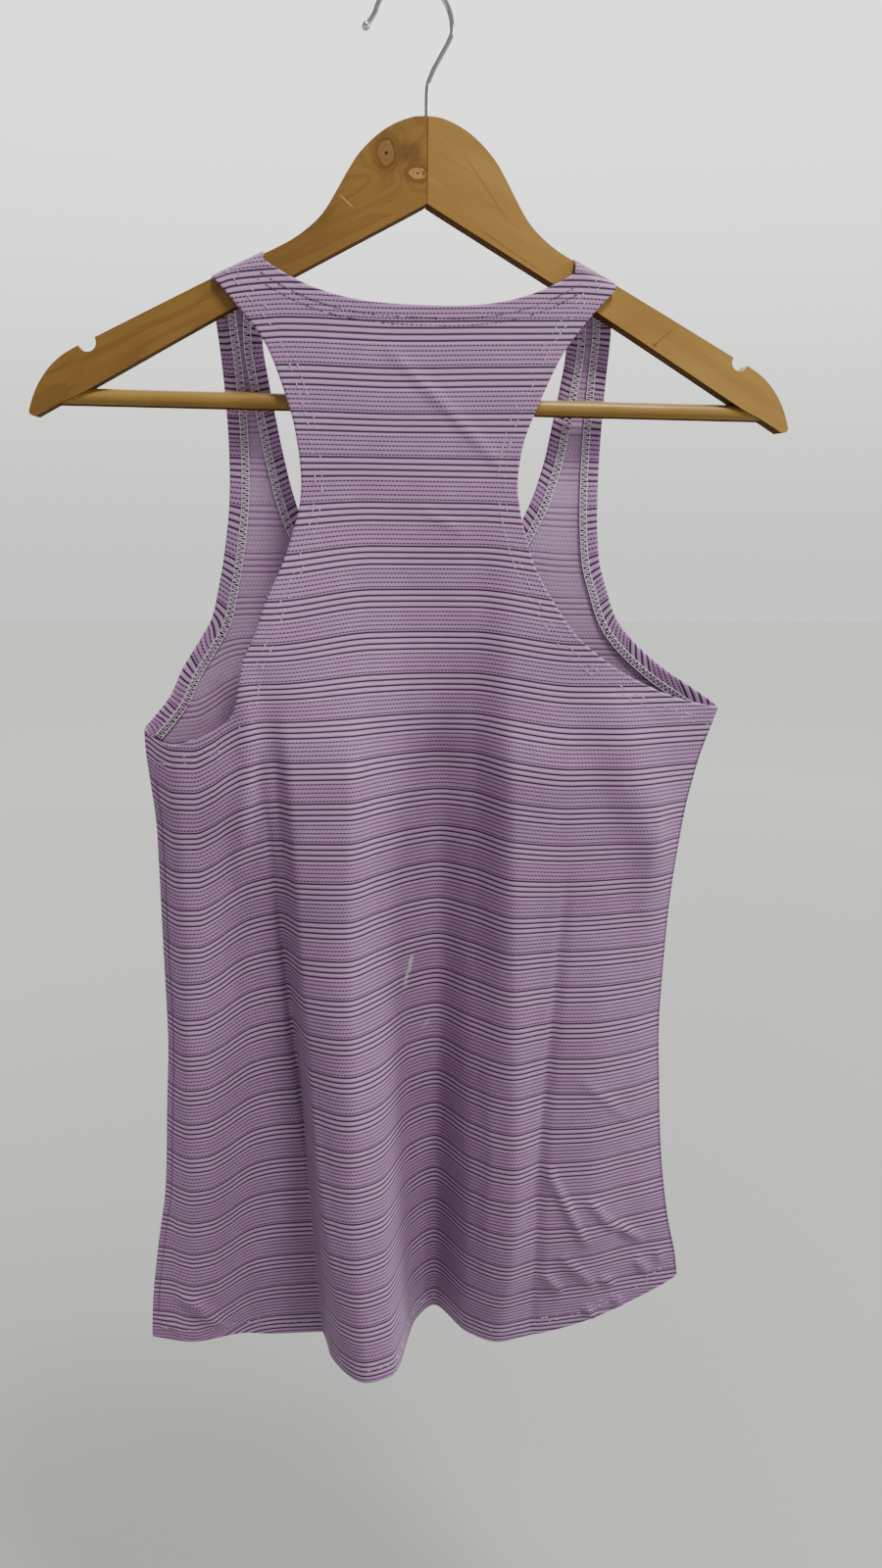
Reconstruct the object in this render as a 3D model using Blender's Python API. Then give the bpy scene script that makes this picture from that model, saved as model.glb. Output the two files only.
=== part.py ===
"""A striped knit racerback tank top hanging on a varnished wooden hanger with a wire hook.

Metres, +Z up. The origin is the inside top of the hook, where a rail or nail holds the hanger. The tank top's back
faces -Y and its front faces +Y. In the tables, across is measured from the hanger's middle, positive to the right
as seen from -Y, and height is measured from the origin.
"""

from math import cos, radians, sin

import bmesh
import bpy
import numpy as np
from mathutils import Vector

# ---- the cloth ----
WALL = 0.0012          # thickness of a cloth wall
HEM_WALL = 0.0010      # thickness of a turned-in hem
GAP = 0.0003           # between two pieces that meet
EDGE_HEM = 0.0105      # width of the neck and armhole hems
HEM_GAP = 0.0009       # a hem round a curved edge stands this far from its panel
HANG = 0.0086          # the cloth's middle stands this far from the hanger's middle plane at the shoulders
SEAM_HALF = (WALL + GAP) / 2
HEM_SHORT = 0.018      # an inner hem stops this far before a side seam
HEM_HEIGHT = -0.845    # bottom edge at the middle
ARMPITS = {"back": (-0.4156, -0.3965), "front": (-0.4065, -0.3965)}  # where each armhole ends, left and right
BACK_ROWS_BELOW = -0.4290   # the first row of the back panel that reaches the left side seam
RISE_FADE = 0.150      # rows follow the bottom edge's curve up to this far above it

# ---- the hanger ----
HANGER_MIDDLE = 0.008  # the hanger's middle stands this far to the right of the hook's top
WOOD_THICK = 0.0125
WOOD_ROUND = 0.0030
BAR_HEIGHT = -0.2180
BAR_RADIUS = 0.0049
BAR_END = 0.2110       # the bar ends in a blind hole in each arm
NOTCH_CENTRE = (0.1892, -0.1892)
NOTCH_RADIUS = 0.0050
WIRE_RADIUS = 0.0015
HOOK_RADIUS = 0.0214   # to the wire's middle
BALL_RADIUS = 0.0024
STEM_IN_WOOD = 0.030
PEAK_HEIGHT = -0.0660

# The body's two sides, seen from the back: height, left, right. Both panels share them below the armpits.
SIDES = (
    (-0.3965, -0.1665, 0.1870),
    (-0.4120, -0.1670, 0.1820),
    (-0.4300, -0.1655, 0.1765),
    (-0.4700, -0.1620, 0.1690),
    (-0.5400, -0.1615, 0.1630),
    (-0.6000, -0.1610, 0.1620),
    (-0.6600, -0.1640, 0.1655),
    (-0.7130, -0.1670, 0.1705),
    (-0.7600, -0.1740, 0.1780),
    (-0.8000, -0.1790, 0.1870),
    (-0.8450, -0.1820, 0.1910),
)
# The back panel's armhole edges: height, left, right.
BACK_ARMHOLES = (
    (-0.1520, -0.1195, 0.1120),
    (-0.1660, -0.1070, 0.0960),
    (-0.1880, -0.0900, 0.0795),
    (-0.2200, -0.0780, 0.0645),
    (-0.2400, -0.0735, 0.0575),
    (-0.2600, -0.0715, 0.0550),
    (-0.2750, -0.0725, 0.0565),
    (-0.2900, -0.0765, 0.0600),
    (-0.3100, -0.0835, 0.0665),
    (-0.3300, -0.0930, 0.0775),
    (-0.3500, -0.1000, 0.0915),
    (-0.3650, -0.1070, 0.1090),
    (-0.3760, -0.1095, 0.1265),
    (-0.3860, -0.1110, 0.1480),
    (-0.3920, -0.1124, 0.1660),
    (-0.3965, -0.1142, 0.1870),
    (-0.4020, -0.1190, 0.1870),
    (-0.4080, -0.1280, 0.1870),
    (-0.4125, -0.1390, 0.1870),
    (-0.4155, -0.1500, 0.1870),
)
# The front panel's armhole edges: height, left, right.
FRONT_ARMHOLES = (
    (-0.1520, -0.1195, 0.1120),
    (-0.1710, -0.1185, 0.1125),
    (-0.2040, -0.1150, 0.1105),
    (-0.2400, -0.1130, 0.1090),
    (-0.2740, -0.1135, 0.1090),
    (-0.3050, -0.1175, 0.1120),
    (-0.3250, -0.1215, 0.1180),
    (-0.3430, -0.1260, 0.1250),
    (-0.3570, -0.1340, 0.1360),
    (-0.3730, -0.1440, 0.1540),
    (-0.3880, -0.1510, 0.1760),
    (-0.3965, -0.1575, 0.1870),
    (-0.4065, -0.1665, 0.1870),
)
# The front neck's two inner edges above its scoop: height, left, right.
FRONT_NECK = (
    (-0.1376, -0.0890, 0.0840),
    (-0.1600, -0.0925, 0.0870),
    (-0.1840, -0.0935, 0.0870),
    (-0.2080, -0.0900, 0.0835),
    (-0.2300, -0.0860, 0.0795),
    (-0.2500, -0.0820, 0.0755),
    (-0.2720, -0.0765, 0.0685),
    (-0.2920, -0.0690, 0.0590),
)
BACK_NECK_LOW = -0.1646
BACK_NECK_MIDDLE = -0.0025
BACK_NECK_HALF = 0.0865
BACK_NECK_RISE = 0.0275
BACK_NECK_POWER = 2.4
FRONT_NECK_LOW = -0.3316
FRONT_NECK_MIDDLE = -0.0050
FRONT_NECK_HALF = 0.0640
FRONT_NECK_RISE = 0.0396
FRONT_NECK_POWER = 2.6

# The folds. A row is one fold: its place across and its depth (negative towards -Y) at each of FOLD_HEIGHTS.
FOLD_HEIGHTS = (-0.270, -0.395, -0.440, -0.540, -0.640, -0.740, -0.845)
BACK_FOLDS = {
    "left soft ridge": (
        (-0.142, -0.142, -0.145, -0.146, -0.147, -0.150, -0.158),
        (-0.0088, -0.0190, -0.0220, -0.0200, -0.0150, -0.0100, -0.0060),
    ),
    "left hollow": (
        (-0.112, -0.112, -0.112, -0.112, -0.112, -0.112, -0.114),
        (-0.0090, -0.0250, -0.0250, -0.0100, -0.0050, 0.0010, 0.0080),
    ),
    "hollow's right end": (
        (-0.093, -0.093, -0.090, -0.086, -0.079, -0.0725, -0.0645),
        (-0.0092, -0.0240, -0.0220, -0.0060, 0.0000, 0.0010, 0.0060),
    ),
    "sharp crease": (
        (-0.083, -0.083, -0.080, -0.0755, -0.0695, -0.0655, -0.0590),
        (-0.0092, -0.0250, -0.0290, -0.0240, -0.0250, -0.0300, -0.0230),
    ),
    "column fold": (
        (-0.048, -0.048, -0.048, -0.049, -0.047, -0.0445, -0.0370),
        (-0.0090, -0.0200, -0.0290, -0.0310, -0.0380, -0.0430, -0.0480),
    ),
    "column's right side": (
        (-0.027, -0.027, -0.027, -0.027, -0.028, -0.0270, -0.0200),
        (-0.0088, -0.0130, -0.0140, -0.0130, -0.0260, -0.0360, -0.0430),
    ),
    "valley's left side": (
        (-0.007, -0.007, -0.005, -0.005, -0.004, -0.0030, 0.0025),
        (-0.0086, -0.0070, -0.0010, 0.0060, 0.0080, 0.0070, 0.0120),
    ),
    "deep valley": (
        (0.009, 0.009, 0.012, 0.014, 0.015, 0.0155, 0.0170),
        (-0.0086, -0.0050, 0.0040, 0.0140, 0.0165, 0.0190, 0.0250),
    ),
    "valley's right side": (
        (0.031, 0.031, 0.033, 0.035, 0.036, 0.0365, 0.0370),
        (-0.0086, -0.0070, -0.0040, -0.0050, -0.0110, -0.0140, -0.0070),
    ),
    "right ridge": (
        (0.054, 0.054, 0.056, 0.058, 0.061, 0.0630, 0.0580),
        (-0.0088, -0.0180, -0.0270, -0.0290, -0.0310, -0.0310, -0.0200),
    ),
    "long crease": (
        (0.080, 0.080, 0.082, 0.082, 0.080, 0.0765, 0.0735),
        (-0.0090, -0.0210, -0.0280, -0.0250, -0.0260, -0.0260, -0.0180),
    ),
    "right flat": (
        (0.110, 0.110, 0.112, 0.110, 0.110, 0.1140, 0.1200),
        (-0.0090, -0.0230, -0.0270, -0.0240, -0.0280, -0.0260, -0.0130),
    ),
    "right soft ridge": (
        (0.142, 0.142, 0.142, 0.140, 0.140, 0.1440, 0.1560),
        (-0.0088, -0.0200, -0.0230, -0.0200, -0.0210, -0.0180, -0.0100),
    ),
}
FRONT_FOLDS = {
    "left turn": (
        (-0.140, -0.140, -0.142, -0.142, -0.143, -0.146, -0.152),
        (0.0090, 0.0070, 0.0070, 0.0080, 0.0110, 0.0140, 0.0190),
    ),
    "left roll": (
        (-0.108, -0.108, -0.110, -0.112, -0.114, -0.116, -0.118),
        (0.0100, 0.0190, 0.0215, 0.0250, 0.0300, 0.0340, 0.0390),
    ),
    "left trough": (
        (-0.072, -0.072, -0.072, -0.074, -0.076, -0.078, -0.078),
        (0.0110, 0.0190, 0.0190, 0.0195, 0.0205, 0.0240, 0.0290),
    ),
    "middle roll": (
        (-0.024, -0.024, -0.020, -0.014, -0.008, -0.002, 0.004),
        (0.0120, 0.0230, 0.0265, 0.0310, 0.0360, 0.0410, 0.0470),
    ),
    "middle trough": (
        (0.034, 0.034, 0.038, 0.044, 0.050, 0.054, 0.058),
        (0.0120, 0.0205, 0.0215, 0.0225, 0.0230, 0.0255, 0.0300),
    ),
    "right roll": (
        (0.092, 0.092, 0.096, 0.098, 0.102, 0.106, 0.112),
        (0.0100, 0.0190, 0.0220, 0.0260, 0.0310, 0.0350, 0.0400),
    ),
    "right turn": (
        (0.146, 0.146, 0.144, 0.140, 0.141, 0.146, 0.158),
        (0.0090, 0.0070, 0.0060, 0.0070, 0.0090, 0.0110, 0.0160),
    ),
}
# Depth of the left and right side seams at FOLD_HEIGHTS. Above the armpits it only steers the folds.
BACK_SEAM_DEPTHS = (
    (-0.0086, -0.0120, -0.0115, -0.0105, -0.0090, -0.0070, -0.0040),
    (-0.0086, -0.0140, -0.0135, -0.0125, -0.0110, -0.0095, -0.0080),
)
FRONT_SEAM_DEPTHS = (
    (0.0086, -0.0120, -0.0115, -0.0105, -0.0090, -0.0070, -0.0040),
    (0.0086, -0.0140, -0.0135, -0.0125, -0.0110, -0.0095, -0.0080),
)
# The back panel's rows just under the left armhole turn up to the side seam: from here across, by this much, and the
# turn is gone this far down. The last value is its power.
SEAM_LIFT = (-0.1460, 0.0225, 0.110, 1.7)
# The bottom edge rises to each side seam: where the rise starts, its height and its power.
RISE_LEFT = (0.095, 0.010, 2.0)
RISE_RIGHT = (0.095, 0.036, 2.2)

BACK_ROWS = (
    -0.845, -0.832, -0.808, -0.782, -0.755, -0.728, -0.700, -0.672, -0.644, -0.616, -0.588, -0.560, -0.532,
    -0.506, -0.483, -0.462, -0.444, -0.429, -0.4155, -0.4125, -0.4080, -0.4020, -0.3965, -0.3920, -0.3860,
    -0.3760, -0.3650, -0.3500, -0.3300, -0.3100, -0.2900, -0.2650, -0.2400, -0.2150, -0.1900,
)
FRONT_ROWS = (
    -0.845, -0.832, -0.790, -0.748, -0.708, -0.670, -0.630, -0.590, -0.550, -0.512, -0.476, -0.446, -0.428,
    -0.4160, -0.4065, -0.3965, -0.3880, -0.3730, -0.3570, -0.3480,
)
BACK_PER_FOLD = 3      # columns of faces between two neighbouring folds
FRONT_PER_FOLD = 3
BACK_STRAP_COLUMNS = 6
FRONT_STRAP_COLUMNS = 4
BACK_STRAP_ROWS = (-0.1800, -0.1720, -0.1650, -0.1600)
FRONT_STRAP_ROWS = (-0.3240, -0.3020, -0.2760, -0.2480, -0.2200, -0.1940, -0.1740, -0.1620)
SHOULDER_TURN = (0.0, 0.35, 0.70, 1.0)

# One arm's outline, without its notch: across, height. The top runs from the middle outwards, then back underneath.
ARM_TOP = (
    (0.0000, -0.0660),
    (0.0080, -0.0668),
    (0.0170, -0.0700),
    (0.0250, -0.0745),
    (0.0320, -0.0802),
    (0.0385, -0.0870),
    (0.0440, -0.0950),
    (0.0500, -0.1050),
    (0.0570, -0.1160),
    (0.0640, -0.1235),
    (0.0740, -0.1310),
    (0.0850, -0.1370),
    (0.1150, -0.1512),
    (0.1842, -0.1862),
    (0.1940, -0.1910),
    (0.2035, -0.1968),
    (0.2115, -0.2045),
    (0.2180, -0.2145),
    (0.2222, -0.2255),
)
ARM_UNDER = (
    (0.2215, -0.2285),
    (0.2185, -0.2292),
    (0.2060, -0.2222),
    (0.1930, -0.2162),
    (0.1020, -0.1652),
    (0.0100, -0.1160),
    (0.0000, -0.1106),
)

CLOTH = ((0.47, 0.33, 0.52, 1.0), 0.75, 0.0)
WOOD = ((0.43, 0.22, 0.07, 1.0), 0.30, 0.0)
CHROME = ((0.72, 0.72, 0.72, 1.0), 0.12, 1.0)


def smooth_through(knots, values, at):
    """Monotone cubic through (knots, values), so that a fold never swings past its own depth."""
    knots, values, at = (np.asarray(a, float) for a in (knots, values, at))
    if knots[0] > knots[-1]:
        knots, values = knots[::-1], values[::-1]
    step = np.diff(knots)
    slope = np.diff(values) / step
    tangent = np.empty_like(values)
    tangent[0], tangent[-1] = slope[0], slope[-1]
    before, after = slope[:-1], slope[1:]
    same = before * after > 0
    joined = np.where(same, 2 * before * after / np.where(same, before + after, 1.0), 0.0)
    tangent[1:-1] = joined
    at = np.clip(at, knots[0], knots[-1])
    i = np.clip(np.searchsorted(knots, at, side="right") - 1, 0, len(step) - 1)
    t = (at - knots[i]) / step[i]
    return (
        (2 * t**3 - 3 * t**2 + 1) * values[i]
        + (t**3 - 2 * t**2 + t) * step[i] * tangent[i]
        + (3 * t**2 - 2 * t**3) * values[i + 1]
        + (t**3 - t**2) * step[i] * tangent[i + 1]
    )


def column(table, number):
    return [row[number] for row in table]


def side_at(armholes, side, height):
    """Across of a panel's left (1) or right (2) edge at a height, down the armhole and then down the side."""
    ends = ARMPITS["back" if armholes is BACK_ARMHOLES else "front"]
    table = SIDES if height < ends[side - 1] else armholes
    return float(smooth_through(column(table, 0), column(table, side), height))


def seam_lift(across, height):
    """How far a row of the back panel has turned up by this place, under the left armhole."""
    start, lift, reach, power = SEAM_LIFT
    part = min(1.0, max(0.0, (start - across) / (start - SIDES[0][1])))
    fade = max(0.0, 1 - (BACK_ROWS_BELOW - height) / reach)
    return lift * part**power * fade if height <= BACK_ROWS_BELOW else 0.0


def bottom_rise(across):
    start, rise, power = RISE_LEFT if across < 0 else RISE_RIGHT
    return rise * max(0.0, (abs(across) - start) / 0.095) ** power


def row_follow(height):
    """How far a row of corners follows the bottom edge's curve: all of it at the edge, none of it higher up."""
    return max(0.0, 1 - (height - HEM_HEIGHT) / RISE_FADE)


class Panel:
    """A cloth panel as a depth over (across, height), with its two edges."""

    def __init__(self, number, folds, seam_depths, armholes):
        self.number = number
        self.folds = folds
        self.seam_depths = seam_depths
        self.armholes = armholes
        self.out = -1.0 if number == 1 else 1.0

    def edges(self, height):
        return side_at(self.armholes, 1, height), side_at(self.armholes, 2, height)

    def fold_line(self, height):
        """The folds' places across and depths at a height, from the left seam to the right seam."""
        places, depths = [], []
        for fold_places, fold_depths in self.folds.values():
            places.append(float(smooth_through(FOLD_HEIGHTS, fold_places, height)))
            depths.append(float(smooth_through(FOLD_HEIGHTS, fold_depths, height)))
        seams = [float(smooth_through(column(SIDES, 0), column(SIDES, k), height)) for k in (1, 2)]
        ends = [
            float(smooth_through(FOLD_HEIGHTS, seam, height)) + self.out * SEAM_HALF
            for seam in self.seam_depths
        ]
        return [seams[0]] + places + [seams[1]], [ends[0]] + depths + [ends[1]]

    def depth(self, across, height):
        places, depths = self.fold_line(height)
        return float(smooth_through(places, depths, across))

    def point(self, across, height, out=0.0):
        """A point of the panel's middle surface, moved out along its normal."""
        small = 0.0008
        here = self.depth(across, height)
        place = Vector((across, here, height))
        if out:
            across_slope = (self.depth(across + small, height) - self.depth(across - small, height)) / (2 * small)
            height_slope = (self.depth(across, height + small) - self.depth(across, height - small)) / (2 * small)
            place += Vector((-across_slope, 1.0, -height_slope)).normalized() * out
        return place

    def row(self, height, per_fold):
        """Places across for one row of corners: they follow the folds on the body and even out above it."""
        left, right = self.edges(height)
        body_places, _ = self.fold_line(min(height, -0.425))
        count = (len(body_places) - 1) * per_fold
        steps = np.arange(count + 1) / per_fold
        followed = np.interp(steps, range(len(body_places)), body_places)
        share = (followed - followed[0]) / (followed[-1] - followed[0])
        even = np.arange(count + 1) / count
        mix = float(np.clip((height + 0.425) / 0.09, 0.0, 1.0))
        share = share * (1 - mix) + even * mix
        return [left + s * (right - left) for s in share]


BACK = Panel(1, BACK_FOLDS, BACK_SEAM_DEPTHS, BACK_ARMHOLES)
FRONT = Panel(2, FRONT_FOLDS, FRONT_SEAM_DEPTHS, FRONT_ARMHOLES)


def back_neck(across):
    part = abs(across - BACK_NECK_MIDDLE) / BACK_NECK_HALF
    return BACK_NECK_LOW + BACK_NECK_RISE * part**BACK_NECK_POWER


def front_neck(across):
    part = abs(across - FRONT_NECK_MIDDLE) / FRONT_NECK_HALF
    return FRONT_NECK_LOW + FRONT_NECK_RISE * part**FRONT_NECK_POWER


def arm_top(across):
    return float(np.interp(abs(across), column(ARM_TOP, 0), column(ARM_TOP, 1)))


def material(name, look):
    colour, roughness, metallic = look
    made = bpy.data.materials.new(name)
    made.use_nodes = True
    shader = made.node_tree.nodes["Principled BSDF"]
    shader.inputs["Base Color"].default_value = colour
    shader.inputs["Roughness"].default_value = roughness
    shader.inputs["Metallic"].default_value = metallic
    return made


def finished(name, mesh_or_curve, look):
    body = bpy.data.objects.new(name, mesh_or_curve)
    body.location.x = HANGER_MIDDLE
    mesh_or_curve.materials.append(material(name, look))
    bpy.context.scene.collection.objects.link(body)
    return body


def cloth_wall(name, corners, faces, thickness):
    """A cloth wall around a middle surface."""
    mesh = bpy.data.meshes.new(name)
    mesh.from_pydata([tuple(c) for c in corners], [], faces)
    mesh.shade_smooth()
    body = finished(name, mesh, CLOTH)
    wall = body.modifiers.new("wall", "SOLIDIFY")
    wall.thickness = thickness
    wall.offset = 0.0
    wall.use_even_offset = True
    wall.thickness_clamp = 1.5
    body.modifiers.new("triangles", "TRIANGULATE").quad_method = "BEAUTY"
    return body


def strap_points(outer, inner, columns, side):
    """One row across a strap, from the panel's own outer edge to the neck edge."""
    order = range(columns + 1) if side < 0 else range(columns, -1, -1)
    return [tuple(o + (i - o) * k / columns for o, i in zip(outer, inner)) for k in order]


def make_panel(name, panel, rows, per_fold, strap_columns, strap_rows, neck, neck_edges):
    """The panel as one wall: body rows, a row that ends on the neck, then two straps up and over the hanger."""
    corners, faces, grid = [], [], {}

    def put(row, number, place):
        grid[row, number] = len(corners)
        corners.append(place)

    count = 0
    for r, height in enumerate(rows):
        places = panel.row(height, per_fold)
        count = len(places) - 1
        for n, across in enumerate(places):
            put(r, n, panel.point(across, row_height(panel, across, height)))
    last = len(rows) - 1
    neck_points = neck_edges[0]
    neck_left, neck_right = neck_points[1], neck_points[2]
    for n in range(strap_columns, count - strap_columns + 1):
        part = (n - strap_columns) / (count - 2 * strap_columns)
        across = neck_left + part * (neck_right - neck_left)
        put(last + 1, n, panel.point(across, neck(across)))
    for side, first in ((-1, 0), (1, count - strap_columns)):
        number = 1 if side < 0 else 2
        for k, height in enumerate(strap_rows):
            outer = (side_at(panel.armholes, number, height), height)
            inner = (neck_edges[k][number], neck_edges[k][0])
            for j, (across, high) in enumerate(strap_points(outer, inner, strap_columns, side)):
                if (last + 1 + k, first + j) not in grid:
                    put(last + 1 + k, first + j, panel.point(across, high))
        outer = BACK_ARMHOLES[0][number]
        inner = neck_edges[-1][number]
        for t, turn in enumerate(SHOULDER_TURN):
            for j, (across, _) in enumerate(strap_points((outer, 0.0), (inner, 0.0), strap_columns, side)):
                angle = radians(90) * turn
                reach = HANG - GAP / 2
                depth = panel.out * (GAP / 2 + reach * cos(angle))
                high = arm_top(across) + 0.0016 - 0.0052 * (1 - sin(angle))
                put(last + 1 + len(strap_rows) + t, first + j, Vector((across, depth, high)))
    for (row, number) in list(grid):
        square = [(row, number), (row, number + 1), (row + 1, number + 1), (row + 1, number)]
        if all(key in grid for key in square):
            face = [grid[key] for key in square]
            faces.append(face if panel.out < 0 else face[::-1])
    return cloth_wall(name, corners, faces, WALL)


def hem_strip(name, panel, edge, width):
    """A turned-in hem: a strip along an edge, inside the panel. edge is (across, height) from one end to the other."""
    inside = -panel.out * (WALL / 2 + HEM_GAP + HEM_WALL / 2)
    points = np.array(edge)
    along = np.gradient(points, axis=0)
    along /= np.linalg.norm(along, axis=1)[:, None]
    inward = np.stack([-along[:, 1], along[:, 0]], 1)
    corners, faces = [], []
    for share in (0.06, 0.5, 1.0):
        for p, n in zip(points, inward):
            across, height = p + n * width * share
            corners.append(panel.point(across, height, inside))
    count = len(points)
    for layer in range(2):
        for i in range(count - 1):
            a = layer * count + i
            face = (a, a + 1, a + 1 + count, a + count)
            faces.append(face)
    return cloth_wall(name, corners, faces, HEM_WALL)


def bottom_hem(name, panel, rows, per_fold):
    """The turned-up bottom edge: the panel's own two lowest rows of corners, moved in."""
    inside = -panel.out * (WALL / 2 + HEM_GAP + HEM_WALL / 2)
    corners, faces = [], []
    count = 0
    for height in rows[:2]:
        places = panel.row(height, per_fold)
        kept = [n for n, a in enumerate(places) if places[0] + HEM_SHORT < a < places[-1] - HEM_SHORT]
        if not corners:
            first, last = kept[0], kept[-1]
        count = last - first + 1
        for across in places[first : last + 1]:
            corners.append(panel.point(across, row_height(panel, across, height), inside))
    for i in range(count - 1):
        faces.append((i, i + 1, i + 1 + count, i + count))
    return cloth_wall(name, corners, faces, HEM_WALL)


def row_height(panel, across, height):
    """The height of a row of corners at a place across."""
    lift = seam_lift(across, height) if panel.number == 1 else 0.0
    return height + lift + bottom_rise(across) * row_follow(height)


def even_points(points, count):
    """The same path with count points at even distances."""
    points = np.array(points)
    lengths = np.concatenate([[0.0], np.cumsum(np.linalg.norm(np.diff(points, axis=0), axis=1))])
    at = np.linspace(0.0, lengths[-1], count)
    return np.stack([np.interp(at, lengths, points[:, k]) for k in range(2)], 1)


def armhole_edge(panel, side, top, count):
    """An armhole's edge from below the shoulder to short of the armpit."""
    bottom = ARMPITS["back" if panel.number == 1 else "front"][side - 1]
    path = [(side_at(panel.armholes, side, h), h) for h in np.linspace(top, bottom, 120)]
    limit = abs(SIDES[0][side]) - HEM_SHORT
    path = [p for p in path if abs(p[0]) < limit]
    return even_points(path, count)


def make_hems():
    across = np.linspace(-0.1, 0.1, 81)
    back_neck_path = [(a, back_neck(a)) for a in across if -0.080 < a < 0.075]
    hem_strip("back_neck_hem", BACK, even_points(back_neck_path, 22)[::-1], EDGE_HEM)
    left = [(float(smooth_through(column(FRONT_NECK, 0), column(FRONT_NECK, 1), h)), h)
            for h in np.linspace(-0.158, FRONT_NECK[-1][0], 20)]
    right = [(float(smooth_through(column(FRONT_NECK, 0), column(FRONT_NECK, 2), h)), h)
             for h in np.linspace(-0.158, FRONT_NECK[-1][0], 20)]
    scoop = [(a, front_neck(a)) for a in np.linspace(FRONT_NECK[-1][1], FRONT_NECK[-1][2], 40)[1:-1]]
    path = even_points(left + scoop + right[::-1], 40)
    hem_strip("front_neck_hem", FRONT, path[::-1], EDGE_HEM)
    for side, word in ((1, "left"), (2, "right")):
        for panel, where in ((BACK, "back"), (FRONT, "front")):
            path = armhole_edge(panel, side, -0.163, 24)
            if side == 2:
                path = path[::-1]
            hem_strip(f"{where}_armhole_hem_{word}", panel, path, EDGE_HEM)
    bottom_hem("back_bottom_hem", BACK, BACK_ROWS, BACK_PER_FOLD)
    bottom_hem("front_bottom_hem", FRONT, FRONT_ROWS, FRONT_PER_FOLD)


def cutter(name, start, end, radius, sides):
    """A hidden round bar that cuts a hole from start to end."""
    axis = Vector(end) - Vector(start)
    mesh = bpy.data.meshes.new(name)
    shape = bmesh.new()
    bmesh.ops.create_cone(
        shape, cap_ends=True, segments=sides, radius1=radius, radius2=radius, depth=axis.length
    )
    bmesh.ops.rotate(shape, verts=shape.verts, matrix=axis.to_track_quat("Z", "Y").to_matrix())
    bmesh.ops.translate(shape, verts=shape.verts, vec=(Vector(start) + Vector(end)) / 2)
    shape.to_mesh(mesh)
    shape.free()
    body = bpy.data.objects.new(name, mesh)
    body.location.x = HANGER_MIDDLE
    body.hide_render = True
    body.display_type = "WIRE"
    bpy.context.scene.collection.objects.link(body)
    return body


def notch_arc(count):
    """The strap notch, as points of an arc cut into the arm's top edge."""
    middle_across, middle_height = NOTCH_CENTRE
    return [
        (
            middle_across + NOTCH_RADIUS * cos(angle),
            middle_height + NOTCH_RADIUS * sin(angle),
        )
        for angle in np.linspace(radians(150), radians(340), count)
    ]


def make_arm(side, word):
    """One half of the hanger, with rounded edges, its strap notch, the bar's hole and its half of the stem's hole."""
    top = [p for p in ARM_TOP if p[0] < NOTCH_CENTRE[0] - NOTCH_RADIUS]
    tip = [p for p in ARM_TOP if p[0] > NOTCH_CENTRE[0] + NOTCH_RADIUS]
    outline = top + notch_arc(7) + tip + list(ARM_UNDER)
    shape = bmesh.new()
    corners = []
    for across, height in outline:
        across = max(across, GAP / 2)
        corners.append(shape.verts.new((side * across, -WOOD_THICK / 2, height)))
    face = shape.faces.new(corners if side > 0 else corners[::-1])
    grown = bmesh.ops.extrude_face_region(shape, geom=[face])
    moved = [v for v in grown["geom"] if isinstance(v, bmesh.types.BMVert)]
    bmesh.ops.translate(shape, verts=moved, vec=(0, WOOD_THICK, 0))
    bmesh.ops.recalc_face_normals(shape, faces=shape.faces)
    rims = [
        e for e in shape.edges
        if abs(e.verts[0].co.y - e.verts[1].co.y) < 1e-6
        and min(abs(v.co.x) for v in e.verts) + max(abs(v.co.x) for v in e.verts) > GAP * 2
    ]
    bmesh.ops.bevel(shape, geom=rims, offset=WOOD_ROUND, segments=2, affect="EDGES", clamp_overlap=True)
    mesh = bpy.data.meshes.new(f"hanger_arm_{word}")
    shape.to_mesh(mesh)
    shape.free()
    arm = finished(f"hanger_arm_{word}", mesh, WOOD)
    stem_top = (0.0, 0.0, PEAK_HEIGHT + 0.010)
    stem_end = (0.0, 0.0, PEAK_HEIGHT - STEM_IN_WOOD - GAP)
    holes = (
        cutter(f"stem_hole_{word}", stem_top, stem_end, WIRE_RADIUS + GAP, 12),
        cutter(
            f"bar_hole_{word}",
            (side * 0.150, 0.0, BAR_HEIGHT),
            (side * (BAR_END + GAP), 0.0, BAR_HEIGHT),
            BAR_RADIUS + GAP,
            20,
        ),
    )
    for hole in holes:
        cut = arm.modifiers.new(hole.name, "BOOLEAN")
        cut.operation = "DIFFERENCE"
        cut.object = hole
    return arm


def make_bar():
    mesh = bpy.data.meshes.new("trouser_bar")
    shape = bmesh.new()
    bmesh.ops.create_cone(
        shape, cap_ends=True, segments=20, radius1=BAR_RADIUS, radius2=BAR_RADIUS, depth=2 * BAR_END
    )
    bmesh.ops.rotate(shape, verts=shape.verts, matrix=Vector((1, 0, 0)).to_track_quat("Z", "Y").to_matrix())
    bmesh.ops.translate(shape, verts=shape.verts, vec=(0, 0, BAR_HEIGHT))
    shape.to_mesh(mesh)
    shape.free()
    mesh.shade_smooth()
    mesh.set_sharp_from_angle(angle=radians(40))
    return finished("trouser_bar", mesh, WOOD)


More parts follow.
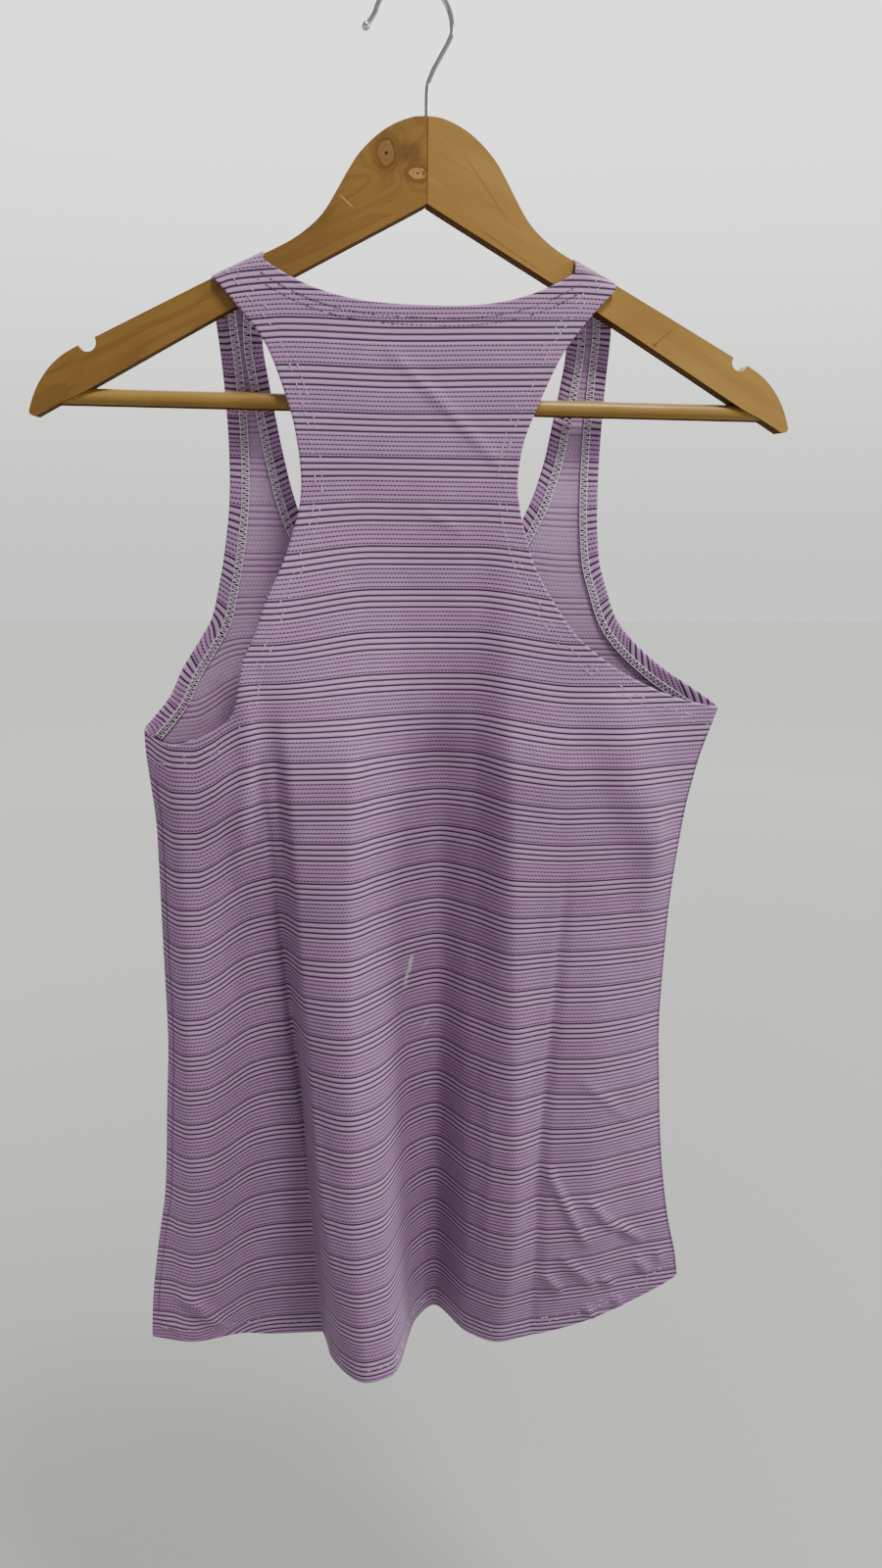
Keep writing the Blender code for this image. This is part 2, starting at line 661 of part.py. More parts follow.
def hook_path():
    """The wire's middle line from its end in the wood, up the stem, round the hook and out to its tip."""
    centre = Vector((-HANGER_MIDDLE, WIRE_RADIUS - HOOK_RADIUS))
    stem = [Vector((0.0, PEAK_HEIGHT - STEM_IN_WOOD)), Vector((0.0, PEAK_HEIGHT)), Vector((0.0, -0.0530))]
    bend = [Vector((0.0006, -0.0480)), Vector((0.0030, -0.0420)), Vector((0.0070, -0.0350))]
    bend.append(Vector((0.0105, -0.0290)))
    arc = [
        centre + HOOK_RADIUS * Vector((cos(a), sin(a)))
        for a in np.linspace(radians(-10), radians(165), 20)
    ]
    tip = [arc[-1] + Vector((-0.0019, -0.0034)), arc[-1] + Vector((-0.0040, -0.0062))]
    return stem + bend + arc + tip


def make_hook():
    """Bent wire as one tube. Its last points widen and close to make the ball."""
    path = hook_path()
    heading = (path[-1] - path[-2]).normalized()
    points = [(p, WIRE_RADIUS) for p in path]
    for angle in np.linspace(radians(40), radians(172), 7):
        along = BALL_RADIUS * (cos(radians(40)) - cos(angle))
        points.append((path[-1] + heading * along, BALL_RADIUS * sin(angle)))
    curve = bpy.data.curves.new("hook", "CURVE")
    curve.dimensions = "3D"
    curve.bevel_depth = WIRE_RADIUS
    curve.bevel_resolution = 3
    curve.use_fill_caps = True
    spline = curve.splines.new("POLY")
    spline.points.add(len(points) - 1)
    for place, (flat, radius) in zip(spline.points, points):
        place.co = (flat.x, 0.0, flat.y, 1.0)
        place.radius = radius / WIRE_RADIUS
    return finished("hook", curve, CHROME)


def main():
    for old in list(bpy.data.objects):
        bpy.data.objects.remove(old, do_unlink=True)
    back_edges = []
    for across_left, across_right in ((-0.0610, 0.0560), (-0.0700, 0.0655), (-0.0780, 0.0740), (-0.0840, 0.0800)):
        back_edges.append((back_neck(across_left), across_left, across_right))
    front_edges = []
    for height in (-0.2920, -0.2740, -0.2520, -0.2280, -0.2040, -0.1820, -0.1640, -0.1520):
        front_edges.append(
            tuple(
                [height]
                + [float(smooth_through(column(FRONT_NECK, 0), column(FRONT_NECK, k), height)) for k in (1, 2)]
            )
        )
    make_panel(
        "back_panel", BACK, BACK_ROWS, BACK_PER_FOLD, BACK_STRAP_COLUMNS, BACK_STRAP_ROWS, back_neck, back_edges
    )
    make_panel(
        "front_panel", FRONT, FRONT_ROWS, FRONT_PER_FOLD, FRONT_STRAP_COLUMNS, FRONT_STRAP_ROWS, front_neck,
        front_edges,
    )
    make_hems()
    make_arm(-1, "left")
    make_arm(1, "right")
    make_bar()
    make_hook()


main()
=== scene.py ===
import math

import bmesh
import bpy
import numpy as np
from mathutils import Matrix, Vector
from mathutils.geometry import delaunay_2d_cdt


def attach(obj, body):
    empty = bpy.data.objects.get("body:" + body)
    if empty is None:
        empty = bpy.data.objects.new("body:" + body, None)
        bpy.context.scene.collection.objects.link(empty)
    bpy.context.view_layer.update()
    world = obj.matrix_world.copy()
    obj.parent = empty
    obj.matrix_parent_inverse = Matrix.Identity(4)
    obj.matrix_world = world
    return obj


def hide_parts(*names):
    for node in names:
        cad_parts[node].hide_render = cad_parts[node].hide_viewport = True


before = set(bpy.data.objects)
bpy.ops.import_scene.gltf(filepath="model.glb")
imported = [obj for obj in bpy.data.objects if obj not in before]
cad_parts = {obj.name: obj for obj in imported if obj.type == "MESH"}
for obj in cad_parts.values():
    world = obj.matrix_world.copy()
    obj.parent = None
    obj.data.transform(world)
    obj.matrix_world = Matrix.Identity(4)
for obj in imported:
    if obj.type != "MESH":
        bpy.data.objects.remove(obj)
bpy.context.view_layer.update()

# ---------------------------------------------------------------- camera, light, floor
# A phone camera about 0.72 m from the cloth, a little left of the hanger and level with its trouser bar, looking
# down. The light comes from above and the right, as the wall's shadows and the folds show.
camera_turn = math.radians(7.844)
camera_down = math.radians(13.600)
camera_roll = math.radians(-0.829)
looking = Vector((
    math.cos(camera_down) * math.sin(camera_turn),
    math.cos(camera_down) * math.cos(camera_turn),
    -math.sin(camera_down),
))
level_right = Vector((math.cos(camera_turn), -math.sin(camera_turn), 0.0))
level_up = level_right.cross(looking)
camera_right = level_right * math.cos(camera_roll) - level_up * math.sin(camera_roll)
camera_up = level_right * math.sin(camera_roll) + level_up * math.cos(camera_roll)
camera_data = bpy.data.cameras.new("camera")
camera_data.sensor_fit = "VERTICAL"
camera_data.sensor_height = 36.0
camera_data.lens = 26.93
camera_data.clip_start = 0.02
camera = bpy.data.objects.new("camera", camera_data)
camera.matrix_world = Matrix((
    (camera_right.x, camera_up.x, -looking.x, -0.0771),
    (camera_right.y, camera_up.y, -looking.y, -0.7152),
    (camera_right.z, camera_up.z, -looking.z, -0.2716),
    (0.0, 0.0, 0.0, 1.0),
))
bpy.context.scene.collection.objects.link(camera)
bpy.context.scene.camera = camera


def soft_light(name, place, aim, size, power, colour):
    data = bpy.data.lights.new(name, "AREA")
    data.shape = "DISK"
    data.size = size
    data.energy = power
    data.color = colour
    lamp = bpy.data.objects.new(name, data)
    lamp.location = place
    lamp.rotation_euler = (Vector(aim) - Vector(place)).to_track_quat("-Z", "Y").to_euler()
    bpy.context.scene.collection.objects.link(lamp)


soft_light("ceiling lamp", (0.45, -0.66, 1.25), (0.0, 0.0, -0.40), 0.45, 43.0, (1.0, 0.985, 0.955))
soft_light("window", (1.7, -0.45, 0.35), (0.0, 0.0, -0.45), 0.55, 23.0, (0.98, 0.985, 1.0))
soft_light("far side", (-0.9, 1.7, 0.9), (0.0, 0.0, -0.45), 1.0, 24.0, (1.0, 0.99, 0.97))

world = bpy.data.worlds.new("pale room")
world.use_nodes = True
room = world.node_tree
room.nodes["Background"].inputs["Strength"].default_value = 1.0
towards = room.nodes.new("ShaderNodeTexCoord")
parts = room.nodes.new("ShaderNodeSeparateXYZ")
room.links.new(towards.outputs["Generated"], parts.inputs[0])
sideways = room.nodes.new("ShaderNodeMapRange")
sideways.interpolation_type = "SMOOTHSTEP"
sideways.inputs["From Min"].default_value = -0.1
sideways.inputs["From Max"].default_value = 0.6
room.links.new(parts.outputs["Y"], sideways.inputs["Value"])
upwards = room.nodes.new("ShaderNodeMapRange")
upwards.interpolation_type = "SMOOTHSTEP"
upwards.inputs["From Min"].default_value = -0.06
upwards.inputs["From Max"].default_value = 0.32
room.links.new(parts.outputs["Z"], upwards.inputs["Value"])
wall = room.nodes.new("ShaderNodeMix")
wall.data_type = "RGBA"
wall.inputs[6].default_value = (0.985, 0.99, 0.965, 1.0)
wall.inputs[7].default_value = (2.10, 2.12, 2.05, 1.0)
room.links.new(upwards.outputs[0], wall.inputs[0])
paint = room.nodes.new("ShaderNodeMix")
paint.data_type = "RGBA"
paint.inputs[6].default_value = (0.40, 0.405, 0.40, 1.0)
room.links.new(wall.outputs[2], paint.inputs[7])
room.links.new(sideways.outputs[0], paint.inputs[0])
dim_side = room.nodes.new("ShaderNodeMapRange")
dim_side.interpolation_type = "SMOOTHSTEP"
dim_side.inputs["From Min"].default_value = -0.25
dim_side.inputs["From Max"].default_value = -0.75
dim_side.inputs["To Max"].default_value = 0.85
room.links.new(parts.outputs["X"], dim_side.inputs["Value"])
dimmed = room.nodes.new("ShaderNodeMix")
dimmed.data_type = "RGBA"
dimmed.inputs[7].default_value = (0.33, 0.335, 0.33, 1.0)
room.links.new(paint.outputs[2], dimmed.inputs[6])
room.links.new(dim_side.outputs[0], dimmed.inputs[0])
room.links.new(dimmed.outputs[2], room.nodes["Background"].inputs["Color"])
bpy.context.scene.world = world

floor_mesh = bpy.data.meshes.new("floor")
floor_mesh.from_pydata([(-9, -9, -1.25), (9, -9, -1.25), (9, 9, -1.25), (-9, 9, -1.25)], [], [(0, 1, 2, 3)])
floor = bpy.data.objects.new("floor", floor_mesh)
floor_paint = bpy.data.materials.new("floor paint")
floor_paint.use_nodes = True
floor_tree = floor_paint.node_tree
floor_place = floor_tree.nodes.new("ShaderNodeTexCoord")
floor_away = floor_tree.nodes.new("ShaderNodeVectorMath")
floor_away.operation = "LENGTH"
floor_tree.links.new(floor_place.outputs["Object"], floor_away.inputs[0])
# The floor's colour is darker near the garment and paler further off: painted shade round where it hangs.
floor_shade_fade = floor_tree.nodes.new("ShaderNodeMapRange")
floor_shade_fade.inputs["From Min"].default_value = 1.3
floor_shade_fade.inputs["From Max"].default_value = 3.8
floor_tree.links.new(floor_away.outputs["Value"], floor_shade_fade.inputs["Value"])
floor_mix = floor_tree.nodes.new("ShaderNodeMix")
floor_mix.data_type = "RGBA"
floor_mix.inputs[6].default_value = (0.35, 0.355, 0.34, 1.0)
floor_mix.inputs[7].default_value = (0.94, 0.95, 0.92, 1.0)
floor_tree.links.new(floor_shade_fade.outputs[0], floor_mix.inputs[0])
floor_tree.links.new(floor_mix.outputs[2], floor_tree.nodes["Principled BSDF"].inputs["Base Color"])
floor_paint.node_tree.nodes["Principled BSDF"].inputs["Roughness"].default_value = 0.9
floor_mesh.materials.append(floor_paint)
bpy.context.scene.collection.objects.link(floor)

# ---------------------------------------------------------------- the back panel
# Striped polyester knit, cut in one piece with its two straps. It hangs in one proud column fold left of the
# middle with a deep valley beside it, and softer ridges each side. Lengths are in metres from the hanger's middle
# line and from the inside top of the hook.
hanger_middle = 0.008
face_out = 0.0006        # the cloth's face and back stand this far out of its middle surface
back_out = -0.0002
bottom_height = -0.845
armpit_right = -0.3965
shoulder_reach = 0.0108  # length of cloth from the wood's face to the top of the arm

fold_heights = (-0.270, -0.395, -0.440, -0.540, -0.640, -0.740, -0.845)
back_folds = {
    "left soft ridge": (
        (-0.142, -0.142, -0.145, -0.146, -0.147, -0.150, -0.158),
        (-0.0088, -0.0190, -0.0220, -0.0200, -0.0150, -0.0100, -0.0060),
    ),
    "left hollow": (
        (-0.112, -0.112, -0.112, -0.112, -0.112, -0.112, -0.114),
        (-0.0090, -0.0250, -0.0250, -0.0100, -0.0050, 0.0010, 0.0080),
    ),
    "hollow's right end": (
        (-0.093, -0.093, -0.090, -0.086, -0.079, -0.0725, -0.0645),
        (-0.0092, -0.0240, -0.0220, -0.0060, 0.0000, 0.0010, 0.0060),
    ),
    "sharp crease": (
        (-0.083, -0.083, -0.080, -0.0755, -0.0695, -0.0655, -0.0590),
        (-0.0092, -0.0250, -0.0290, -0.0240, -0.0250, -0.0300, -0.0230),
    ),
    "column fold": (
        (-0.048, -0.048, -0.048, -0.049, -0.047, -0.0445, -0.0370),
        (-0.0090, -0.0200, -0.0290, -0.0310, -0.0380, -0.0430, -0.0480),
    ),
    "column's right side": (
        (-0.027, -0.027, -0.027, -0.027, -0.028, -0.0270, -0.0200),
        (-0.0088, -0.0130, -0.0140, -0.0130, -0.0260, -0.0360, -0.0430),
    ),
    "valley's left side": (
        (-0.007, -0.007, -0.005, -0.005, -0.004, -0.0030, 0.0025),
        (-0.0086, -0.0070, -0.0010, 0.0060, 0.0080, 0.0070, 0.0120),
    ),
    "deep valley": (
        (0.009, 0.009, 0.012, 0.014, 0.015, 0.0155, 0.0170),
        (-0.0086, -0.0050, 0.0040, 0.0140, 0.0165, 0.0190, 0.0250),
    ),
    "valley's right side": (
        (0.031, 0.031, 0.033, 0.035, 0.036, 0.0365, 0.0370),
        (-0.0086, -0.0070, -0.0040, -0.0050, -0.0110, -0.0140, -0.0070),
    ),
    "right ridge": (
        (0.054, 0.054, 0.056, 0.058, 0.061, 0.0630, 0.0580),
        (-0.0088, -0.0180, -0.0270, -0.0290, -0.0310, -0.0310, -0.0200),
    ),
    "long crease": (
        (0.080, 0.080, 0.082, 0.082, 0.080, 0.0765, 0.0735),
        (-0.0090, -0.0210, -0.0280, -0.0250, -0.0260, -0.0260, -0.0180),
    ),
    "right flat": (
        (0.110, 0.110, 0.112, 0.110, 0.110, 0.1140, 0.1200),
        (-0.0090, -0.0230, -0.0270, -0.0240, -0.0280, -0.0260, -0.0130),
    ),
    "right soft ridge": (
        (0.142, 0.142, 0.142, 0.140, 0.140, 0.1440, 0.1560),
        (-0.0088, -0.0200, -0.0230, -0.0200, -0.0210, -0.0180, -0.0100),
    ),
}
seam_depths = {
    "back": ((-0.0086, -0.0120, -0.0115, -0.0105, -0.0090, -0.0070, -0.0040),
             (-0.0086, -0.0140, -0.0135, -0.0125, -0.0110, -0.0095, -0.0080)),
    "front": ((0.0086, -0.0120, -0.0115, -0.0105, -0.0090, -0.0070, -0.0040),
              (0.0086, -0.0140, -0.0135, -0.0125, -0.0110, -0.0095, -0.0080)),
}
# height, left and right of the body's two side seams
side_seams = np.array((
    (-0.3965, -0.1665, 0.1870), (-0.4120, -0.1670, 0.1820), (-0.4300, -0.1655, 0.1765),
    (-0.4700, -0.1620, 0.1690), (-0.5400, -0.1615, 0.1630), (-0.6000, -0.1610, 0.1620),
    (-0.6600, -0.1640, 0.1655), (-0.7130, -0.1670, 0.1705), (-0.7600, -0.1740, 0.1780),
    (-0.8000, -0.1790, 0.1870), (-0.8450, -0.1820, 0.1910),
))
# Small creases on the back: the line's points (across, height), half width, how far it stands out.
back_creases = (
    (((-0.1010, -0.418), (-0.0900, -0.520), (-0.0815, -0.616), (-0.0700, -0.715), (-0.0606, -0.807),
      (-0.0570, -0.850)), 0.0030, -0.0030),
    (((-0.0970, -0.430), (-0.0850, -0.520), (-0.0765, -0.616), (-0.0650, -0.715), (-0.0550, -0.807),
      (-0.0520, -0.850)), 0.0035, 0.0018),
    (((0.0905, -0.500), (0.0890, -0.540), (0.0870, -0.585), (0.0855, -0.616), (0.0830, -0.653),
      (0.0806, -0.705), (0.0808, -0.780), (0.0805, -0.850)), 0.0042, -0.0026),
    (((-0.1088, -0.366), (-0.1062, -0.400), (-0.1050, -0.426), (-0.1088, -0.463), (-0.1130, -0.502)), 0.0060, 0.0022),
    (((0.1044, -0.6413), (0.1232, -0.6583), (0.1438, -0.6783)), 0.0036, 0.0012),
    (((0.0862, -0.7043), (0.0891, -0.7153), (0.1010, -0.7393),
      (0.1118, -0.7613), (0.1172, -0.7713)), 0.0032, 0.0027),
    (((0.1142, -0.7323), (0.1204, -0.7399), (0.1320, -0.7554), (0.1372, -0.7623)), 0.0030, 0.0024),
    (((0.1332, -0.7533), (0.1376, -0.7579), (0.1490, -0.7680), (0.1609, -0.7769)), 0.0030, 0.0024),
    (((0.0872, -0.7893), (0.0896, -0.7944), (0.1011, -0.8080)), 0.0030, 0.0024),
    (((0.0960, -0.7742), (0.1074, -0.7872), (0.1167, -0.7973), (0.1259, -0.8098)), 0.0034, 0.0018),
    (((0.1272, -0.7993), (0.1312, -0.8028), (0.1400, -0.8088)), 0.0030, 0.0024),
    (((0.1542, -0.7903), (0.1584, -0.7949), (0.1662, -0.8041)), 0.0030, 0.0022),
    (((0.1701, -0.7855), (0.1763, -0.7977)), 0.0030, 0.0022),
    (((-0.0243, -0.1863), (0.0129, -0.2203), (0.0486, -0.2553)), 0.0034, 0.0011),
    (((-0.0037, -0.2753), (0.0259, -0.2923)), 0.0028, 0.0007),
    (((-0.1560, -0.455), (-0.1500, -0.520), (-0.1510, -0.600)), 0.0060, -0.0010),
    (((-0.1250, -0.560), (-0.1200, -0.660), (-0.1290, -0.760)), 0.0090, 0.0012),
    (((-0.0300, -0.560), (-0.0330, -0.660), (-0.0280, -0.760)), 0.0050, 0.0010),
    (((0.0440, -0.620), (0.0480, -0.700), (0.0450, -0.790)), 0.0040, 0.0012),
    (((-0.1620, -0.798), (-0.1571, -0.8018), (-0.1491, -0.8077), (-0.1373, -0.8255), (-0.1320, -0.8330)), 0.0040, 0.0030),
    (((-0.1804, -0.8107), (-0.1674, -0.8206), (-0.1603, -0.8277)), 0.0036, 0.0020),
    (((0.1180, -0.822), (0.1253, -0.8329), (0.1275, -0.8370)), 0.0028, 0.0020),
    (((0.1400, -0.818), (0.1480, -0.8290)), 0.0030, 0.0016),
)
# The fold that runs from the right armhole down to the flank. Its dark line was read off the photo, and the cloth to
# the right of that line swells out, so that its slope turns from the light.
flank_fold = (
    (0.0975, -0.3850), (0.0985, -0.4000), (0.1032, -0.4176), (0.1053, -0.4363), (0.1138, -0.4554),
    (0.1223, -0.4749), (0.1324, -0.4946), (0.1347, -0.5144), (0.1404, -0.5346), (0.1435, -0.5550),
    (0.1453, -0.5757), (0.1475, -0.6000),
)
flank_swell = 0.0240      # from the dark line across to the top of the swell
back_creases += ((tuple((x + flank_swell, z) for x, z in flank_fold), 0.0170, 0.0060),)
arm_top_points = np.array((
    (0.0000, -0.0660), (0.0080, -0.0668), (0.0170, -0.0700), (0.0250, -0.0745), (0.0320, -0.0802),
    (0.0385, -0.0870), (0.0440, -0.0950), (0.0500, -0.1050), (0.0570, -0.1160), (0.0640, -0.1235),
    (0.0740, -0.1310), (0.0850, -0.1370), (0.1150, -0.1512), (0.1842, -0.1862),
))


def through(knots, values, at):
    """A monotone cubic through (knots, values), read at each place."""
    knots = np.asarray(knots, float)
    values = np.asarray(values, float)
    if knots[0] > knots[-1]:
        knots, values = knots[::-1], values[::-1]
    at = np.clip(np.asarray(at, float), knots[0], knots[-1])
    step = np.diff(knots)
    slope = np.diff(values) / step
    tangent = np.concatenate([slope[:1], np.zeros(len(slope) - 1), slope[-1:]])
    same = slope[:-1] * slope[1:] > 0
    total = np.where(same, slope[:-1] + slope[1:], 1.0)
    tangent[1:-1] = np.where(same, 2 * slope[:-1] * slope[1:] / total, 0.0)
    i = np.clip(np.searchsorted(knots, at, side="right") - 1, 0, len(step) - 1)
    t = (at - knots[i]) / step[i]
    return (
        (2 * t**3 - 3 * t**2 + 1) * values[i] + (t**3 - 2 * t**2 + t) * step[i] * tangent[i]
        + (3 * t**2 - 2 * t**3) * values[i + 1] + (t**3 - t**2) * step[i] * tangent[i + 1]
    )


def across_folds(places, depths, x):
    """The same cubic across the folds, whose places differ from point to point."""
    x = np.clip(x, places[:, 0], places[:, -1])
    step = np.diff(places, axis=1)
    slope = np.diff(depths, axis=1) / step
    tangent = np.zeros_like(depths)
    tangent[:, 0] = slope[:, 0]
    tangent[:, -1] = slope[:, -1]
    same = slope[:, :-1] * slope[:, 1:] > 0
    total = np.where(same, slope[:, :-1] + slope[:, 1:], 1.0)
    tangent[:, 1:-1] = np.where(same, 2 * slope[:, :-1] * slope[:, 1:] / total, 0.0)
    i = (x[:, None] >= places[:, 1:-1]).sum(axis=1)[:, None]
    wide, low, high = (np.take_along_axis(a, i, 1)[:, 0] for a in (step, depths[:, :-1], depths[:, 1:]))
    start = np.take_along_axis(places, i, 1)[:, 0]
    leave = np.take_along_axis(tangent[:, :-1], i, 1)[:, 0]
    reach = np.take_along_axis(tangent[:, 1:], i, 1)[:, 0]
    t = (x - start) / wide
    return (
        (2 * t**3 - 3 * t**2 + 1) * low + (t**3 - 2 * t**2 + t) * wide * leave
        + (3 * t**2 - 2 * t**3) * high + (t**3 - t**2) * wide * reach
    )


def crease_relief(creases, x, z):
    """How far the small creases stand out at each place."""
    relief = np.zeros_like(x)
    for line, half_width, stands in creases:
        line = np.array(line)
        lengths = np.linalg.norm(np.diff(line, axis=0), axis=1)
        whole = lengths.sum()
        near = np.full(x.shape, 1e9)
        along = np.zeros_like(x)
        done = 0.0
        for (ax, az), (bx, bz), length in zip(line[:-1], line[1:], lengths):
            t = np.clip(((x - ax) * (bx - ax) + (z - az) * (bz - az)) / length**2, 0.0, 1.0)
            away = np.hypot(x - ax - t * (bx - ax), z - az - t * (bz - az))
            closer = away < near
            near = np.where(closer, away, near)
            along = np.where(closer, (done + t * length) / whole, along)
            done += length
        fade = np.sin(np.pi * np.clip(along, 0.0, 1.0)) ** 0.5
        relief += stands * np.exp(-((near / half_width) ** 2)) * fade
    return relief


def arm_top(x):
    return np.interp(np.abs(x), arm_top_points[:, 0], arm_top_points[:, 1])


class Cloth:
    """One panel's middle surface, as a place in space for each across and length up the cloth."""

    def __init__(self, folds, seams, out, creases):
        self.folds = list(folds.values())
        self.seams = seams
        self.out = out
        self.creases = creases

    def depth(self, x, z):
        left = through(side_seams[:, 0], side_seams[:, 1], z)
        right = through(side_seams[:, 0], side_seams[:, 2], z)
        close = self.out * 0.0002
        places = [left] + [through(fold_heights, p, z) for p, _ in self.folds] + [right]
        depths = [through(fold_heights, self.seams[0], z) + close]
        depths += [through(fold_heights, d, z) for _, d in self.folds]
        depths += [through(fold_heights, self.seams[1], z) + close]
        depth = across_folds(np.stack(places, 1), np.stack(depths, 1), x)
        hang = np.clip((-0.20 - z) / 0.15, 0.0, 1.0)
        edge = np.clip(np.minimum(x - left, right - x) / 0.02, 0.0, 1.0)
        uneven = 0.0005 * np.sin(61 * x + 23 * z + 1.3) + 0.0004 * np.sin(37 * x - 71 * z)
        return depth + self.out * edge * (crease_relief(self.creases, x, z) + hang * uneven)

    def middle(self, x, h):
        """The middle surface: up the panel, then over the top of the arm."""
        turn_at = arm_top(x) - 0.0036
        flat = self.depth(x, np.minimum(h, turn_at))
        angle = np.clip((h - turn_at) / shoulder_reach, 0.0, 1.0) * math.pi / 2
        over = h > turn_at
        seam = self.out * 0.0002
        y = np.where(over, seam + (flat - seam) * np.cos(angle), flat)
        z = np.where(over, turn_at + 0.0052 * np.sin(angle), h)
        return np.stack([x + hanger_middle, y, z], 1)

    def place(self, x, h, out=0.0):
        """Points that stand out of the middle surface by a distance."""
        x = np.asarray(x, float)
        h = np.asarray(h, float)
        small = 0.0006
        sideways = self.middle(x + small, h) - self.middle(x - small, h)
        upwards = self.middle(x, h + small) - self.middle(x, h - small)
        normal = np.cross(sideways, upwards) * -self.out
        lengths = np.linalg.norm(normal, axis=1)
        safe = np.where(lengths > 1e-12, lengths, 1.0)
        normal = normal / safe[:, None]
        return self.middle(x, h) + normal * np.asarray(out)[..., None]


def ease(low, high, value):
    """0 below low and 1 above high, with a soft start and end."""
    t = np.clip((value - low) / (high - low), 0.0, 1.0)
    return t * t * (3 - 2 * t)


def cloth_lift(x, z):
    """How far the courses hang lower than level: beside the armholes, and towards the left strap's outer edge."""
    left = through(
        (-0.184, -0.166, -0.159, -0.150, -0.139, -0.128, -0.119, -0.108, -0.096, -0.090),
        (0.0060, 0.0100, 0.0150, 0.0185, 0.0185, 0.0140, 0.0080, 0.0025, 0.0003, 0.0), x
    ) * through((-0.845, -0.600, -0.440, -0.390, -0.340, -0.240), (0.62, 0.85, 1.0, 1.0, 0.6, 0.0), z)
    right = 0.007 * ease(0.030, 0.094, x) * ease(-0.600, -0.430, z) * (1 - ease(-0.340, -0.240, z))
    yoke = 0.007 * ease(0.030, 0.094, -x) * ease(-0.420, -0.345, z) * (1 - ease(-0.325, -0.235, z))
    straps = through(
        (-0.120, -0.115, -0.110, -0.104, -0.098, -0.090, -0.080, -0.065, -0.050, -0.026, 0.000, 0.030, 0.060,
         0.078, 0.090, 0.110),
        (0.0078, 0.0064, 0.0047, 0.0036, 0.0028, 0.0019, 0.0011, 0.0009, 0.0011, 0.0014, 0.0008, -0.0004, -0.0014,
         -0.0020, -0.0024, -0.0018), x
    ) * ease(-0.260, -0.205, z)
    return np.hypot(left, yoke) + right + straps


def curve_through(points, spacing):
    """An even run of points on a smooth curve through the given ones."""
    points = np.array(points, float)
    ends = np.concatenate([[2 * points[0] - points[1]], points, [2 * points[-1] - points[-2]]])
    fine = []
    for a, b, c, d in zip(ends[:-3], ends[1:-2], ends[2:-1], ends[3:]):
        t = np.linspace(0.0, 1.0, 24, endpoint=False)[:, None]
        fine.append(0.5 * (2 * b + (c - a) * t + (2 * a - 5 * b + 4 * c - d) * t**2
                           + (3 * b - a - 3 * c + d) * t**3))
    fine = np.concatenate(fine + [points[-1:]])
    lengths = np.concatenate([[0.0], np.cumsum(np.linalg.norm(np.diff(fine, axis=0), axis=1))])
    count = max(2, int(round(lengths[-1] / spacing)) + 1)
    at = np.linspace(0.0, lengths[-1], count)
    return np.stack([np.interp(at, lengths, fine[:, k]) for k in range(points.shape[1])], 1)


def inside(outline, x, z):
    """Which points lie inside a closed outline."""
    result = np.zeros(x.shape, bool)
    for (ax, az), (bx, bz) in zip(outline, np.roll(outline, -1, axis=0)):
        crosses = (az > z) != (bz > z)
        if crosses.any():
            cut = ax + (z - az) * (bx - ax) / (bz - az if bz != az else 1e-12)
            result ^= crosses & (x < cut)
    return result


def clear_of(outline, x, z, distance):
    """Which points are further than a distance from an outline's corners."""
    keep = np.ones(x.shape, bool)
    for start in range(0, len(outline), 64):
        part = outline[start : start + 64]
        away = np.hypot(x[:, None] - part[None, :, 0], z[:, None] - part[None, :, 1]).min(axis=1)
        keep &= away > distance
    return keep


class Lengths:
    """Length round a panel, measured along the cloth from its middle line, so that the knit keeps its gauge."""

    def __init__(self, cloth):
        self.x = np.linspace(-0.20, 0.20, 401)
        self.z = np.linspace(-0.86, -0.13, 147)
        rows = []
        for z in self.z:
            y = cloth.depth(self.x, np.full(self.x.shape, z))
            steps = np.hypot(np.diff(self.x), np.diff(y))
            along = np.concatenate([[0.0], np.cumsum(steps)])
            rows.append(along - along[200])
        self.rows = np.array(rows)

    def at(self, x, z):
        fx = np.clip((x - self.x[0]) / (self.x[1] - self.x[0]), 0, len(self.x) - 1.001)
        fz = np.clip((z - self.z[0]) / (self.z[1] - self.z[0]), 0, len(self.z) - 1.001)
        i, j = fx.astype(int), fz.astype(int)
        a, b = fx - i, fz - j
        low = self.rows[j, i] * (1 - a) + self.rows[j, i + 1] * a
        high = self.rows[j + 1, i] * (1 - a) + self.rows[j + 1, i + 1] * a
        return low * (1 - b) + high * b

    def spread(self, z, spacing):
        """Places across at an even length along the cloth."""
        row = self.rows[int(np.clip(round((z - self.z[0]) / (self.z[1] - self.z[0])), 0, len(self.z) - 1))]
        count = int((row[-1] - row[0]) / spacing)
        return np.interp(np.linspace(row[0], row[-1], count), row, self.x)


def mesh_piece(name, corners, faces, looks, face_looks=None, knit=None, smooth_angle=50.0):
    """A mesh object in the row's frame. knit gives each corner's place on the flat cloth."""
    mesh = bpy.data.meshes.new(name)
    mesh.from_pydata([tuple(c) for c in corners], [], [tuple(int(i) for i in f) for f in faces])
    for look in looks:
        mesh.materials.append(look)
    if face_looks is not None:
        mesh.polygons.foreach_set("material_index", np.asarray(face_looks, dtype=np.int32))
    shape = bmesh.new()
    shape.from_mesh(mesh)
    bmesh.ops.recalc_face_normals(shape, faces=shape.faces)
    shape.to_mesh(mesh)
    shape.free()
    if knit is not None:
        layer = mesh.uv_layers.new(name="knit")
        which = np.empty(len(mesh.loops), dtype=np.int32)
        mesh.loops.foreach_get("vertex_index", which)
        layer.data.foreach_set("uv", np.asarray(knit, dtype=np.float32)[which].ravel())
    mesh.shade_smooth()
    mesh.set_sharp_from_angle(angle=math.radians(smooth_angle))
    piece = bpy.data.objects.new(name, mesh)
    bpy.context.scene.collection.objects.link(piece)
    return piece


